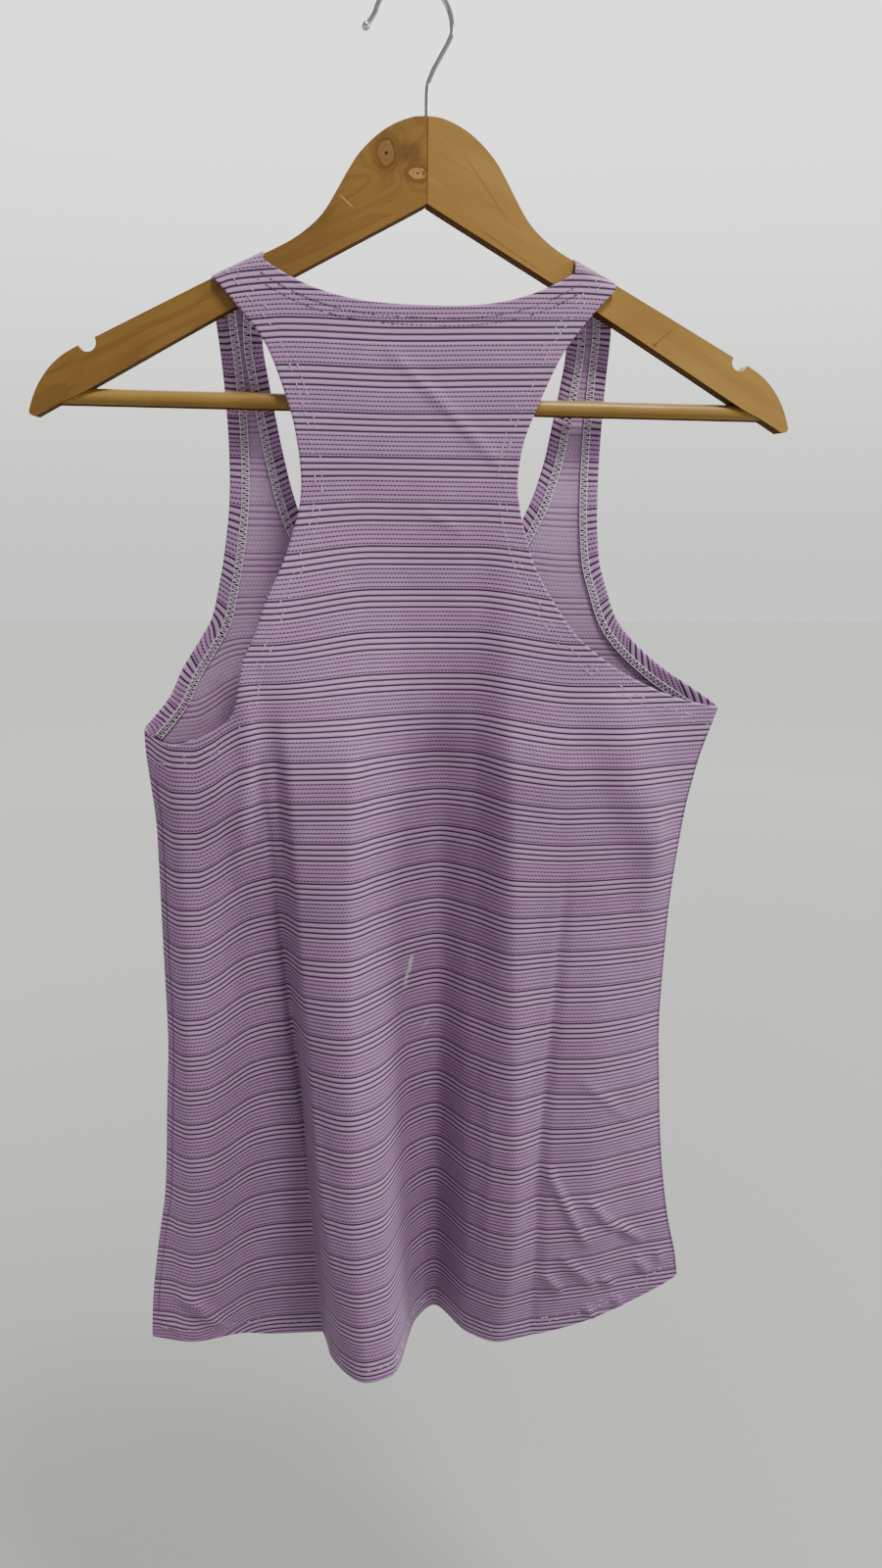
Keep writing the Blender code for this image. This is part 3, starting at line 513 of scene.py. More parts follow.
def knit_place(lengths, x, h):
    """Each point's place on the flat cloth: length round, and height in the knit's own courses."""
    return np.stack([lengths.at(x, h), h + cloth_lift(x, h)], 1)


def panel_mesh(name, cloth, lengths, outline, row_step, along_step, looks):
    """A panel with a face and a back, closed round its outline."""
    low, high = outline[:, 1].min(), outline[:, 1].max()
    xs, zs = [], []
    for number, z in enumerate(np.arange(low, high, row_step)):
        across = lengths.spread(z, along_step)
        if number % 2:
            across = (across[1:] + across[:-1]) / 2
        xs.append(across)
        zs.append(np.full(across.shape, z))
    x, z = np.concatenate(xs), np.concatenate(zs)
    keep = inside(outline, x, z)
    x, z = x[keep], z[keep]
    keep = clear_of(outline, x, z, 0.62 * along_step)
    x, z = x[keep], z[keep]
    count = len(outline)
    flat = [Vector(p) for p in outline] + [Vector(p) for p in np.stack([x, z], 1)]
    corners, _, triangles, _, _, _ = delaunay_2d_cdt(flat, [], [list(range(count))], 1, 1e-7)
    corners = np.array([tuple(c) for c in corners])
    faces = np.array([tuple(t) for t in triangles])
    across, up = corners[:, 0], corners[:, 1]
    outer = cloth.place(across, up, np.full(across.shape, face_out))
    inner = cloth.place(across, up, np.full(across.shape, back_out))
    total = len(corners)
    a, b, c = corners[faces[:, 0]], corners[faces[:, 1]], corners[faces[:, 2]]
    turn = (b[:, 0] - a[:, 0]) * (c[:, 1] - a[:, 1]) - (b[:, 1] - a[:, 1]) * (c[:, 0] - a[:, 0])
    faces[turn < 0] = faces[turn < 0][:, ::-1]
    if cloth.out > 0:
        faces = faces[:, ::-1]
    edges = {}
    for tri in faces:
        for i, j in ((0, 1), (1, 2), (2, 0)):
            edges[(tri[i], tri[j])] = True
    rim = [(j, i, i + total, j + total) for (i, j) in edges if (j, i) not in edges]
    shell = [tuple(f) for f in faces] + [tuple(f[::-1] + total) for f in faces] + rim
    face_looks = [0] * len(faces) + [1] * len(faces) + [0] * len(rim)
    knit = knit_place(lengths, across, up)
    return mesh_piece(name, np.concatenate([outer, inner]), shell, looks, face_looks, np.concatenate([knit, knit]))


# The knit: repeats every 25.3 mm, four dark ribbed lines and then five rows of small dark meshes.
repeat = 0.0253
first_line = -0.8404
line_step = 0.0035
mesh_step = 0.0026
mesh_pitch = 0.0022


def maths(tree, operation, first, second=None, third=None):
    """One Math node. A number or a socket may be given for each input."""
    node = tree.nodes.new("ShaderNodeMath")
    node.operation = operation
    for socket, value in zip(node.inputs, (first, second, third)):
        if value is None:
            continue
        if isinstance(value, (int, float)):
            socket.default_value = value
        else:
            tree.links.new(value, socket)
    return node.outputs[0]


def blend_colour(tree, share, first, second):
    """Mixes two colours, each a tuple or a socket, by a share."""
    node = tree.nodes.new("ShaderNodeMix")
    node.data_type = "RGBA"
    node.clamp_factor = True
    if isinstance(share, (int, float)):
        node.inputs[0].default_value = share
    else:
        tree.links.new(share, node.inputs[0])
    for socket, value in ((node.inputs[6], first), (node.inputs[7], second)):
        if isinstance(value, tuple):
            socket.default_value = value
        else:
            tree.links.new(value, socket)
    return node.outputs[2]


def pulse(tree, distance, half_width, soft):
    """1 within half_width of a line and 0 beyond it, with a soft edge."""
    node = tree.nodes.new("ShaderNodeMapRange")
    node.interpolation_type = "SMOOTHSTEP"
    tree.links.new(distance, node.inputs["Value"])
    node.inputs["From Min"].default_value = half_width + soft
    node.inputs["From Max"].default_value = max(half_width - soft, 0.0)
    return node.outputs[0]


def knit_look(name, body, line, mesh_dot, pale_yarn_and_crest_highlight, fibre_and_row_shade, line_share, dot_share, smears=()):
    """The striped knit as seen on one side of the cloth, with a painted highlight on its rib crests and painted shade
    in its grooves.
    """
    made = bpy.data.materials.new(name)
    made.use_nodes = True
    tree = made.node_tree
    shader = tree.nodes["Principled BSDF"]
    place = tree.nodes.new("ShaderNodeUVMap")
    place.uv_map = "knit"
    apart = tree.nodes.new("ShaderNodeSeparateXYZ")
    tree.links.new(place.outputs[0], apart.inputs[0])
    round_it, up_it = apart.outputs[0], apart.outputs[1]
    start = first_line - line_step / 2
    wrapped = maths(tree, "FRACT", maths(tree, "DIVIDE", maths(tree, "SUBTRACT", up_it, start), repeat))
    height = maths(tree, "MULTIPLY", wrapped, repeat)
    # the four lines: dark stripes of the knit, their darkness partly painted shade in the grooves
    in_lines = maths(tree, "LESS_THAN", height, 4 * line_step)
    line_turn = maths(tree, "FRACT", maths(tree, "DIVIDE", height, line_step))
    line_away = maths(tree, "MULTIPLY", maths(tree, "ABSOLUTE", maths(tree, "SUBTRACT", line_turn, 0.5)), line_step)
    line_dark = maths(tree, "MULTIPLY", pulse(tree, line_away, 0.00052, 0.00026), in_lines)
    # the mesh rows
    mesh_start = 0.01265
    above = maths(tree, "SUBTRACT", height, mesh_start)
    in_mesh = maths(tree, "GREATER_THAN", height, 0.0130)
    row_turn = maths(tree, "FRACT", maths(tree, "DIVIDE", above, mesh_step))
    row_away = maths(tree, "MULTIPLY", maths(tree, "ABSOLUTE", maths(tree, "SUBTRACT", row_turn, 0.5)), mesh_step)
    row_number = maths(tree, "FLOOR", maths(tree, "DIVIDE", above, mesh_step))
    shifted = maths(tree, "ADD", maths(tree, "DIVIDE", round_it, mesh_pitch), maths(tree, "MULTIPLY", row_number, 0.5))
    dot_turn = maths(tree, "FRACT", shifted)
    dot_away = maths(tree, "MULTIPLY", maths(tree, "ABSOLUTE", maths(tree, "SUBTRACT", dot_turn, 0.5)), mesh_pitch)
    dot = maths(tree, "MULTIPLY", pulse(tree, row_away, 0.00040, 0.00024), pulse(tree, dot_away, 0.00062, 0.00026))
    dot_dark = maths(tree, "MULTIPLY", dot, in_mesh)
    # painted shade along the groove of each mesh row
    mesh_row_shade = maths(tree, "MULTIPLY", pulse(tree, row_away, 0.00034, 0.00030), in_mesh)
    # slow unevenness of the yarn, and its fine fibres
    uneven = tree.nodes.new("ShaderNodeTexNoise")
    uneven.inputs["Scale"].default_value = 55.0
    uneven.inputs["Detail"].default_value = 3.0
    tree.links.new(place.outputs[0], uneven.inputs["Vector"])
    stretch = tree.nodes.new("ShaderNodeMapping")
    stretch.inputs["Scale"].default_value = (1500.0, 4200.0, 1.0)
    tree.links.new(place.outputs[0], stretch.inputs[0])
    fibres = tree.nodes.new("ShaderNodeTexNoise")
    fibres.inputs["Scale"].default_value = 1.0
    fibres.inputs["Detail"].default_value = 2.0
    tree.links.new(stretch.outputs[0], fibres.inputs["Vector"])
    # colours: a painted highlight makes the rib crests a little paler than the ground, and painted shade darkens the
    # grooves of the mesh rows; the same dark colour also darkens the fine fibres
    rib = maths(tree, "MULTIPLY", pulse(tree, maths(tree, "SUBTRACT", 0.5 * line_step, line_away), 0.0006, 0.0006),
                in_lines)
    colour = blend_colour(tree, maths(tree, "MULTIPLY", rib, 0.60), body, pale_yarn_and_crest_highlight)
    shade = maths(tree, "MULTIPLY", maths(tree, "SUBTRACT", uneven.outputs[0], 0.5), 0.9)
    colour = blend_colour(tree, shade, colour, pale_yarn_and_crest_highlight)
    fibre_share = maths(tree, "MULTIPLY", maths(tree, "SUBTRACT", fibres.outputs[0], 0.42), 0.55)
    colour = blend_colour(tree, fibre_share, colour, fibre_and_row_shade)
    colour = blend_colour(tree, maths(tree, "MULTIPLY", mesh_row_shade, 0.85), colour, fibre_and_row_shade)
    colour = blend_colour(tree, maths(tree, "MULTIPLY", dot_dark, dot_share), colour, mesh_dot)
    colour = blend_colour(tree, maths(tree, "MULTIPLY", line_dark, line_share), colour, line)
    # the whitish smears that lie on the back's face: across, height, slant, half width, half height, share
    spot = tree.nodes.new("ShaderNodeTexCoord")
    where = tree.nodes.new("ShaderNodeSeparateXYZ")
    tree.links.new(spot.outputs["Object"], where.inputs[0])
    streaks = tree.nodes.new("ShaderNodeMapping")
    streaks.inputs["Scale"].default_value = (1100.0, 1.0, 330.0)
    tree.links.new(spot.outputs["Object"], streaks.inputs[0])
    torn = tree.nodes.new("ShaderNodeTexNoise")
    torn.inputs["Scale"].default_value = 1.0
    torn.inputs["Detail"].default_value = 3.0
    tree.links.new(streaks.outputs[0], torn.inputs["Vector"])
    ragged = maths(tree, "MULTIPLY", maths(tree, "SUBTRACT", torn.outputs[0], 0.5), 0.0040)
    on_back = maths(tree, "LESS_THAN", where.outputs[1], 0.020)
    for across, height, slant, wide, tall, share in smears:
        along = maths(tree, "SUBTRACT", where.outputs[2], height)
        aside = maths(tree, "SUBTRACT", maths(tree, "SUBTRACT", where.outputs[0], across),
                      maths(tree, "MULTIPLY", along, slant))
        aside = maths(tree, "ADD", maths(tree, "ABSOLUTE", aside), ragged)
        smear = maths(tree, "MULTIPLY", pulse(tree, aside, wide, 0.0009),
                      pulse(tree, maths(tree, "ABSOLUTE", along), tall, 0.0018))
        smear = maths(tree, "MULTIPLY", maths(tree, "MULTIPLY", smear, on_back), share)
        colour = blend_colour(tree, smear, colour, (0.52, 0.50, 0.46, 1.0))
    tree.links.new(colour, shader.inputs["Base Color"])
    hollow = maths(tree, "ADD", maths(tree, "MULTIPLY", line_dark, -1.0), maths(tree, "MULTIPLY", dot_dark, -0.7))
    relief = maths(tree, "ADD", hollow, maths(tree, "MULTIPLY", rib, 0.4))
    relief = maths(tree, "ADD", relief, maths(tree, "MULTIPLY", fibres.outputs[0], 0.25))
    bump = tree.nodes.new("ShaderNodeBump")
    bump.inputs["Strength"].default_value = 0.65
    bump.inputs["Distance"].default_value = 0.0004
    tree.links.new(relief, bump.inputs["Height"])
    tree.links.new(bump.outputs[0], shader.inputs["Normal"])
    shader.inputs["Roughness"].default_value = 0.68
    shader.inputs["Specular IOR Level"].default_value = 0.32
    shader.inputs["Sheen Weight"].default_value = 0.10
    shader.inputs["Sheen Roughness"].default_value = 0.45
    shader.inputs["Sheen Tint"].default_value = (0.86, 0.76, 0.92, 1.0)
    return made


# Colours in order: ground, lines (partly painted shade in their grooves), mesh dots, paler yarn and the painted
# highlight on rib crests, dark fibres and the painted shade in the mesh rows.
knit_face = knit_look(
    "knit face", (0.318, 0.178, 0.323, 1.0), (0.020, 0.007, 0.028, 1.0), (0.030, 0.011, 0.040, 1.0),
    (0.470, 0.300, 0.465, 1.0), (0.150, 0.070, 0.160, 1.0), 1.0, 1.0, (
        (0.0034, -0.5700, 0.18, 0.0012, 0.0060, 0.65), (0.0008, -0.5790, 0.12, 0.0009, 0.0055, 0.50),
        (0.0156, -0.6162, 0.80, 0.0005, 0.0026, 0.40),
    )
)
knit_wrong_side = knit_look(
    "knit wrong side", (0.350, 0.215, 0.350, 1.0), (0.200, 0.105, 0.215, 1.0), (0.480, 0.350, 0.480, 1.0),
    (0.400, 0.260, 0.400, 1.0), (0.240, 0.130, 0.245, 1.0), 0.75, 0.60
)

# The back's cut edges, each as (across, height) from the strap's top down.
back_armhole_left = curve_through((
    (-0.1195, -0.1520), (-0.1070, -0.1660), (-0.0900, -0.1880), (-0.0780, -0.2200), (-0.0735, -0.2400),
    (-0.0715, -0.2600), (-0.0725, -0.2750), (-0.0765, -0.2900), (-0.0835, -0.3100), (-0.0930, -0.3300),
    (-0.1000, -0.3500), (-0.1070, -0.3650), (-0.1095, -0.3760), (-0.1110, -0.3860), (-0.1124, -0.3920),
    (-0.1142, -0.3965), (-0.1190, -0.4020), (-0.1280, -0.4080), (-0.1390, -0.4125), (-0.1500, -0.4155),
    (-0.1590, -0.4145), (-0.1665, -0.4065),
), 0.0022)
back_armhole_right = curve_through((
    (0.1095, -0.1520), (0.0960, -0.1660), (0.0795, -0.1880), (0.0645, -0.2200), (0.0575, -0.2400),
    (0.0550, -0.2600), (0.0565, -0.2750), (0.0600, -0.2900), (0.0665, -0.3100), (0.0775, -0.3300),
    (0.0915, -0.3500), (0.1090, -0.3650), (0.1265, -0.3760), (0.1480, -0.3860), (0.1660, -0.3920),
    (0.1870, -0.3965),
), 0.0022)


def strap_top(x):
    """Where a strap ends on top of the arm."""
    return arm_top(x) - 0.0036 + shoulder_reach


def back_neck(x):
    return -0.1646 + 0.0205 * (np.abs(x + 0.0025) / 0.0887) ** 2.8


def bottom_edge(x):
    """The bottom edge, which rises to each side seam."""
    x = np.asarray(x, float)
    left = 0.019 * (np.clip(-x - 0.100, 0.0, None) / 0.095) ** 1.3
    right = 0.0137 * (np.clip(x - 0.045, 0.0, None) / 0.095) ** 2.3
    return bottom_height + left + right


def side_edge(number, top):
    """A side seam from the armpit down to the bottom edge, as (across, height)."""
    heights = np.linspace(top, -0.845, 90)
    across = through(side_seams[:, 0], side_seams[:, number], heights)
    keep = heights > bottom_edge(across)
    across, heights = across[keep], heights[keep]
    end = np.array([[across[-1], bottom_edge(across[-1])]])
    return curve_through(np.concatenate([np.stack([across, heights], 1)[::3], end]), 0.0026)


def even_run(x0, x1, height_at, spacing):
    x = np.linspace(x0, x1, max(2, int(abs(x1 - x0) / (spacing * 0.5))))
    return curve_through(np.stack([x, height_at(x)], 1), spacing)


def upright(x, low, high, spacing):
    count = max(2, int(round(abs(high - low) / spacing)) + 1)
    return np.stack([np.full(count, x), np.linspace(low, high, count)], 1)


back_neck_edge = even_run(-0.0912, 0.0855, back_neck, 0.0022)
back_left_side = side_edge(1, -0.4066)
back_right_side = side_edge(2, -0.3966)
back_bottom = even_run(back_left_side[-1, 0], back_right_side[-1, 0], bottom_edge, 0.0024)
back_outline = np.concatenate([
    back_neck_edge[:-1],
    upright(0.0855, float(back_neck(0.0855)), float(strap_top(0.0855)), 0.0022)[:-1],
    even_run(0.0855, 0.1095, strap_top, 0.0022)[:-1],
    upright(0.1095, float(strap_top(0.1095)), -0.1520, 0.0022)[:-1],
    back_armhole_right[:-1],
    back_right_side[:-1],
    back_bottom[::-1][:-1],
    back_left_side[::-1][:-1],
    back_armhole_left[::-1][:-1],
    upright(-0.1195, -0.1520, float(strap_top(-0.1195)), 0.0022)[:-1],
    even_run(-0.1195, -0.0912, strap_top, 0.0022)[:-1],
    upright(-0.0912, float(strap_top(-0.0912)), float(back_neck(-0.0912)), 0.0022)[:-1],
])
back_cloth = Cloth(back_folds, seam_depths["back"], -1.0, back_creases)
back_lengths = Lengths(back_cloth)
back_panel = panel_mesh(
    "back_panel_cloth", back_cloth, back_lengths, back_outline, 0.0025, 0.0022, (knit_face, knit_wrong_side)
)
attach(back_panel, "root")
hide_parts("back_panel")

# ---------------------------------------------------------------- the front panel
# The same knit, cut with a deep scoop neck and two narrow straps. The photo shows only its wrong side, through the
# armholes, so its folds are soft and plain: two rolls over the wearer's sides and one down the middle.
front_folds = {
    "left turn": (
        (-0.140, -0.140, -0.142, -0.142, -0.143, -0.146, -0.152),
        (0.0090, 0.0070, 0.0070, 0.0080, 0.0110, 0.0140, 0.0190),
    ),
    "left roll": (
        (-0.108, -0.108, -0.110, -0.112, -0.114, -0.116, -0.118),
        (0.0100, 0.0190, 0.0215, 0.0250, 0.0300, 0.0340, 0.0390),
    ),
    "left trough": (
        (-0.072, -0.072, -0.072, -0.074, -0.076, -0.078, -0.078),
        (0.0110, 0.0190, 0.0190, 0.0195, 0.0205, 0.0240, 0.0290),
    ),
    "middle roll": (
        (-0.024, -0.024, -0.020, -0.014, -0.008, -0.002, 0.004),
        (0.0120, 0.0230, 0.0265, 0.0310, 0.0360, 0.0410, 0.0470),
    ),
    "middle trough": (
        (0.034, 0.034, 0.038, 0.044, 0.050, 0.054, 0.058),
        (0.0120, 0.0205, 0.0215, 0.0225, 0.0230, 0.0255, 0.0300),
    ),
    "right roll": (
        (0.092, 0.092, 0.096, 0.098, 0.102, 0.106, 0.112),
        (0.0100, 0.0190, 0.0220, 0.0260, 0.0310, 0.0350, 0.0400),
    ),
    "right turn": (
        (0.146, 0.146, 0.144, 0.140, 0.141, 0.146, 0.158),
        (0.0090, 0.0070, 0.0060, 0.0070, 0.0090, 0.0110, 0.0160),
    ),
}
front_creases = (
    (((-0.126, -0.380), (-0.110, -0.450), (-0.104, -0.560)), 0.0060, 0.0014),
    (((0.128, -0.380), (0.112, -0.460), (0.108, -0.570)), 0.0060, 0.0014),
    (((-0.090, -0.500), (-0.086, -0.620), (-0.092, -0.780)), 0.0040, -0.0016),
    (((0.060, -0.520), (0.068, -0.640), (0.074, -0.800)), 0.0035, -0.0014),
    (((0.010, -0.420), (0.018, -0.560), (0.026, -0.700)), 0.0060, 0.0012),
    (((-0.050, -0.430), (-0.036, -0.540), (-0.030, -0.660)), 0.0070, -0.0010),
    (((-0.150, -0.640), (-0.128, -0.664), (-0.108, -0.676)), 0.0026, 0.0014),
    (((-0.154, -0.742), (-0.132, -0.760), (-0.118, -0.768)), 0.0024, 0.0014),
    (((0.152, -0.610), (0.128, -0.632)), 0.0026, 0.0014),
    (((0.160, -0.760), (0.140, -0.784), (0.124, -0.792)), 0.0024, 0.0016),
)
front_armhole_left = curve_through((
    (-0.1195, -0.1520), (-0.1185, -0.1710), (-0.1150, -0.2040), (-0.1130, -0.2400), (-0.1135, -0.2740),
    (-0.1175, -0.3050), (-0.1215, -0.3250), (-0.1260, -0.3430), (-0.1340, -0.3570), (-0.1440, -0.3730),
    (-0.1510, -0.3880), (-0.1575, -0.3965), (-0.1665, -0.4065),
), 0.0024)
front_armhole_right = curve_through((
    (0.1095, -0.1520), (0.1125, -0.1710), (0.1105, -0.2040), (0.1090, -0.2400), (0.1090, -0.2740),
    (0.1120, -0.3050), (0.1180, -0.3250), (0.1250, -0.3430), (0.1360, -0.3570), (0.1540, -0.3730),
    (0.1760, -0.3880), (0.1870, -0.3965),
), 0.0024)


def front_neck(x):
    return -0.3316 + 0.0396 * (np.abs(x + 0.0050) / 0.0640) ** 2.6


front_neck_left = (
    (-0.0914, -0.1520), (-0.0925, -0.1600), (-0.0935, -0.1840), (-0.0900, -0.2080),
    (-0.0860, -0.2300), (-0.0820, -0.2500), (-0.0765, -0.2720), (-0.0690, -0.2920),
)
front_neck_right = (
    (0.0861, -0.1520), (0.0870, -0.1600), (0.0870, -0.1840), (0.0835, -0.2080),
    (0.0795, -0.2300), (0.0755, -0.2500), (0.0685, -0.2720), (0.0590, -0.2920),
)
scoop = [(x, float(front_neck(x))) for x in np.linspace(-0.060, 0.050, 12)]
front_neck_edge = curve_through(list(front_neck_left) + scoop + list(front_neck_right[::-1]), 0.0024)
front_left_side = side_edge(1, -0.4066)
front_right_side = side_edge(2, -0.3966)
front_bottom = even_run(front_left_side[-1, 0], front_right_side[-1, 0], bottom_edge, 0.0026)
front_outline = np.concatenate([
    front_neck_edge[:-1],
    upright(0.0861, -0.1520, float(strap_top(0.0861)), 0.0024)[:-1],
    even_run(0.0861, 0.1095, strap_top, 0.0024)[:-1],
    upright(0.1095, float(strap_top(0.1095)), -0.1520, 0.0024)[:-1],
    front_armhole_right[:-1],
    front_right_side[:-1],
    front_bottom[::-1][:-1],
    front_left_side[::-1][:-1],
    front_armhole_left[::-1][:-1],
    upright(-0.1195, -0.1520, float(strap_top(-0.1195)), 0.0024)[:-1],
    even_run(-0.1195, -0.0914, strap_top, 0.0024)[:-1],
    upright(-0.0914, float(strap_top(-0.0914)), -0.1520, 0.0024)[:-1],
])
front_cloth = Cloth(front_folds, seam_depths["front"], 1.0, front_creases)
front_lengths = Lengths(front_cloth)
front_panel = panel_mesh(
    "front_panel_cloth", front_cloth, front_lengths, front_outline, 0.0034, 0.0031, (knit_face, knit_wrong_side)
)
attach(front_panel, "root")
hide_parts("front_panel")

# ---------------------------------------------------------------- hems
# Each cut edge is turned in once and held by a coverstitch. The turned-in cloth shows its face, with its stripes
# running the other way, and the fold itself is a small round roll.
edge_hem = 0.0105
bottom_hem = 0.0130
# The turned edge across: distance in from the fold, distance out of the panel's middle surface.
hem_round = (
    (0.0016, 0.00064), (0.0006, 0.00070), (-0.0001, 0.00062), (-0.0006, 0.00030), (-0.00075, -0.00020),
    (-0.0006, -0.00075), (-0.0001, -0.00112), (0.0008, -0.00125),
)


def seam_room(x, h):
    """The place across, kept inside the side seams, and how much room there is beside the nearest one."""
    left = through(side_seams[:, 0], side_seams[:, 1], h)
    right = through(side_seams[:, 0], side_seams[:, 2], h)
    x = np.clip(x, left + 0.0004, right - 0.0004)
    return x, np.clip(np.minimum(x - left, right - x) / 0.014, 0.10, 1.0)


def hem_mesh(name, cloth, lengths, edge, width):
    """A turned-in edge, swept along the fold. edge runs so that the cloth lies on its left side."""
    along = np.gradient(edge, axis=0)
    along /= np.linalg.norm(along, axis=1)[:, None]
    inward = np.stack([-along[:, 1], along[:, 0]], 1)
    section = list(hem_round)
    section += [(width * s, -0.00125) for s in (0.33, 0.66, 0.96)]
    section += [(width, -0.00100), (width * 0.97, -0.00070), (width * 0.5, -0.00068), (0.0009, -0.00066)]
    section += [(0.0003, -0.00030), (0.0006, 0.00020)]
    corners, knit = [], []
    for d, out in section:
        x = edge[:, 0] + inward[:, 0] * d
        h = edge[:, 1] + inward[:, 1] * d
        x, room = seam_room(x, h)
        corners.append(cloth.place(x, h, out * room if out < 0 else np.full(x.shape, out)))
        turned = -d if out < 0.0001 else d
        mirrored = edge + inward * turned
        knit.append(knit_place(lengths, mirrored[:, 0], mirrored[:, 1]))
    rows, count = len(section), len(edge)
    corners, knit = np.concatenate(corners), np.concatenate(knit)
    faces = []
    for r in range(rows):
        n = (r + 1) % rows
        for i in range(count - 1):
            faces.append((r * count + i, r * count + i + 1, n * count + i + 1, n * count + i))
    faces.append(tuple(r * count for r in range(rows)))
    faces.append(tuple((rows - 1 - r) * count + count - 1 for r in range(rows)))
    if cloth.out > 0:
        faces = [f[::-1] for f in faces]
    piece = mesh_piece(name, corners, faces, (knit_face,), None, knit, 60.0)
    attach(piece, "root")
    return piece


back_hems = [
    hem_mesh("back_neck_hem_cloth", back_cloth, back_lengths, back_neck_edge[::-1], edge_hem),
    hem_mesh("back_armhole_hem_left_cloth", back_cloth, back_lengths, back_armhole_left, edge_hem),
    hem_mesh("back_armhole_hem_right_cloth", back_cloth, back_lengths, back_armhole_right[::-1], edge_hem),
    hem_mesh("back_bottom_hem_cloth", back_cloth, back_lengths, back_bottom, bottom_hem),
]
for hem, node in zip(back_hems, ("back_neck_hem", "back_armhole_hem_left", "back_armhole_hem_right",
                                 "back_bottom_hem")):
    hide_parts(node)
front_hems = [
    hem_mesh("front_neck_hem_cloth", front_cloth, front_lengths, front_neck_edge[::-1], edge_hem),
    hem_mesh("front_armhole_hem_left_cloth", front_cloth, front_lengths, front_armhole_left, edge_hem),
    hem_mesh("front_armhole_hem_right_cloth", front_cloth, front_lengths, front_armhole_right[::-1], edge_hem),
    hem_mesh("front_bottom_hem_cloth", front_cloth, front_lengths, front_bottom, bottom_hem),
]
for hem, node in zip(front_hems, ("front_neck_hem", "front_armhole_hem_left", "front_armhole_hem_right",
                                  "front_bottom_hem")):
    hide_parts(node)

# ---------------------------------------------------------------- sewing
# Coverstitch in soft polyester thread: two rows of short stitches on the face, and inside the looper thread
# that zigzags between them over the cut edge.
stitch_pitch = 0.0027
needle_gap = 0.0040


def thread_look(name, colour):
    made = bpy.data.materials.new(name)
    made.use_nodes = True
    tree = made.node_tree
    shader = tree.nodes["Principled BSDF"]
    place = tree.nodes.new("ShaderNodeTexCoord")
    twist = tree.nodes.new("ShaderNodeTexNoise")
    twist.inputs["Scale"].default_value = 900.0
    tree.links.new(place.outputs["Object"], twist.inputs["Vector"])
    dark = tuple(c * 0.62 for c in colour[:3]) + (1.0,)
    tree.links.new(blend_colour(tree, twist.outputs[0], dark, colour), shader.inputs["Base Color"])
    shader.inputs["Roughness"].default_value = 0.55
    shader.inputs["Sheen Weight"].default_value = 0.15
    return made


pale_thread = thread_look("pale thread", (0.52, 0.40, 0.54, 1.0))
dark_thread_and_seam_shade = thread_look("dark lilac thread and seam shade", (0.070, 0.030, 0.085, 1.0))
looper_thread = thread_look("looper thread", (0.74, 0.64, 0.73, 1.0))


def stitch_tree():
    """Short stitches laid end to end along a line."""
    tree = bpy.data.node_groups.new("stitches", "GeometryNodeTree")
    face = tree.interface
    face.new_socket("Geometry", in_out="INPUT", socket_type="NodeSocketGeometry")
    for name in ("Pitch", "Stitch length", "Thread radius", "Share seen"):
        face.new_socket(name, in_out="INPUT", socket_type="NodeSocketFloat")
    face.new_socket("Thread", in_out="INPUT", socket_type="NodeSocketMaterial")
    face.new_socket("Geometry", in_out="OUTPUT", socket_type="NodeSocketGeometry")
    nodes, link = tree.nodes, tree.links.new
    given, done = nodes.new("NodeGroupInput"), nodes.new("NodeGroupOutput")
    line = nodes.new("GeometryNodeMeshToCurve")
    even = nodes.new("GeometryNodeResampleCurve")
    even.mode = "LENGTH"
    bead = nodes.new("GeometryNodeMeshUVSphere")
    bead.inputs["Segments"].default_value = 6
    bead.inputs["Rings"].default_value = 5
    bead.inputs["Radius"].default_value = 1.0
    size = nodes.new("ShaderNodeCombineXYZ")
    half = nodes.new("ShaderNodeMath")
    half.operation = "MULTIPLY"
    half.inputs[1].default_value = 0.5
    aim = nodes.new("FunctionNodeAlignRotationToVector")
    aim.axis = "Z"
    tangent = nodes.new("GeometryNodeInputTangent")
    put = nodes.new("GeometryNodeInstanceOnPoints")
    seen = nodes.new("FunctionNodeRandomValue")
    seen.data_type = "BOOLEAN"
    seen.inputs["Seed"].default_value = 3
    uneven = nodes.new("FunctionNodeRandomValue")
    uneven.data_type = "FLOAT"
    uneven.inputs[2].default_value = 0.55
    uneven.inputs[3].default_value = 1.35
    uneven.inputs["Seed"].default_value = 8
    sized = nodes.new("ShaderNodeVectorMath")
    sized.operation = "SCALE"
    real = nodes.new("GeometryNodeRealizeInstances")
    paint = nodes.new("GeometryNodeSetMaterial")
    smooth = nodes.new("GeometryNodeSetShadeSmooth")
    link(given.outputs["Geometry"], line.inputs[0])
    link(line.outputs[0], even.inputs["Curve"])
    link(given.outputs["Pitch"], even.inputs["Length"])
    link(given.outputs["Stitch length"], half.inputs[0])
    link(given.outputs["Thread radius"], size.inputs[0])
    link(given.outputs["Thread radius"], size.inputs[1])
    link(half.outputs[0], size.inputs[2])
    link(tangent.outputs[0], aim.inputs["Vector"])
    link(even.outputs[0], put.inputs["Points"])
    link(bead.outputs["Mesh"], put.inputs["Instance"])
    link(aim.outputs[0], put.inputs["Rotation"])
    link(given.outputs["Share seen"], seen.inputs["Probability"])
    link(seen.outputs[3], put.inputs["Selection"])
    link(size.outputs[0], sized.inputs[0])
    link(uneven.outputs[1], sized.inputs["Scale"])
    link(sized.outputs[0], put.inputs["Scale"])
    link(put.outputs[0], real.inputs[0])
    link(real.outputs[0], smooth.inputs[0])
    link(smooth.outputs[0], paint.inputs["Geometry"])
    link(given.outputs["Thread"], paint.inputs["Material"])
    link(paint.outputs[0], done.inputs[0])
    return tree


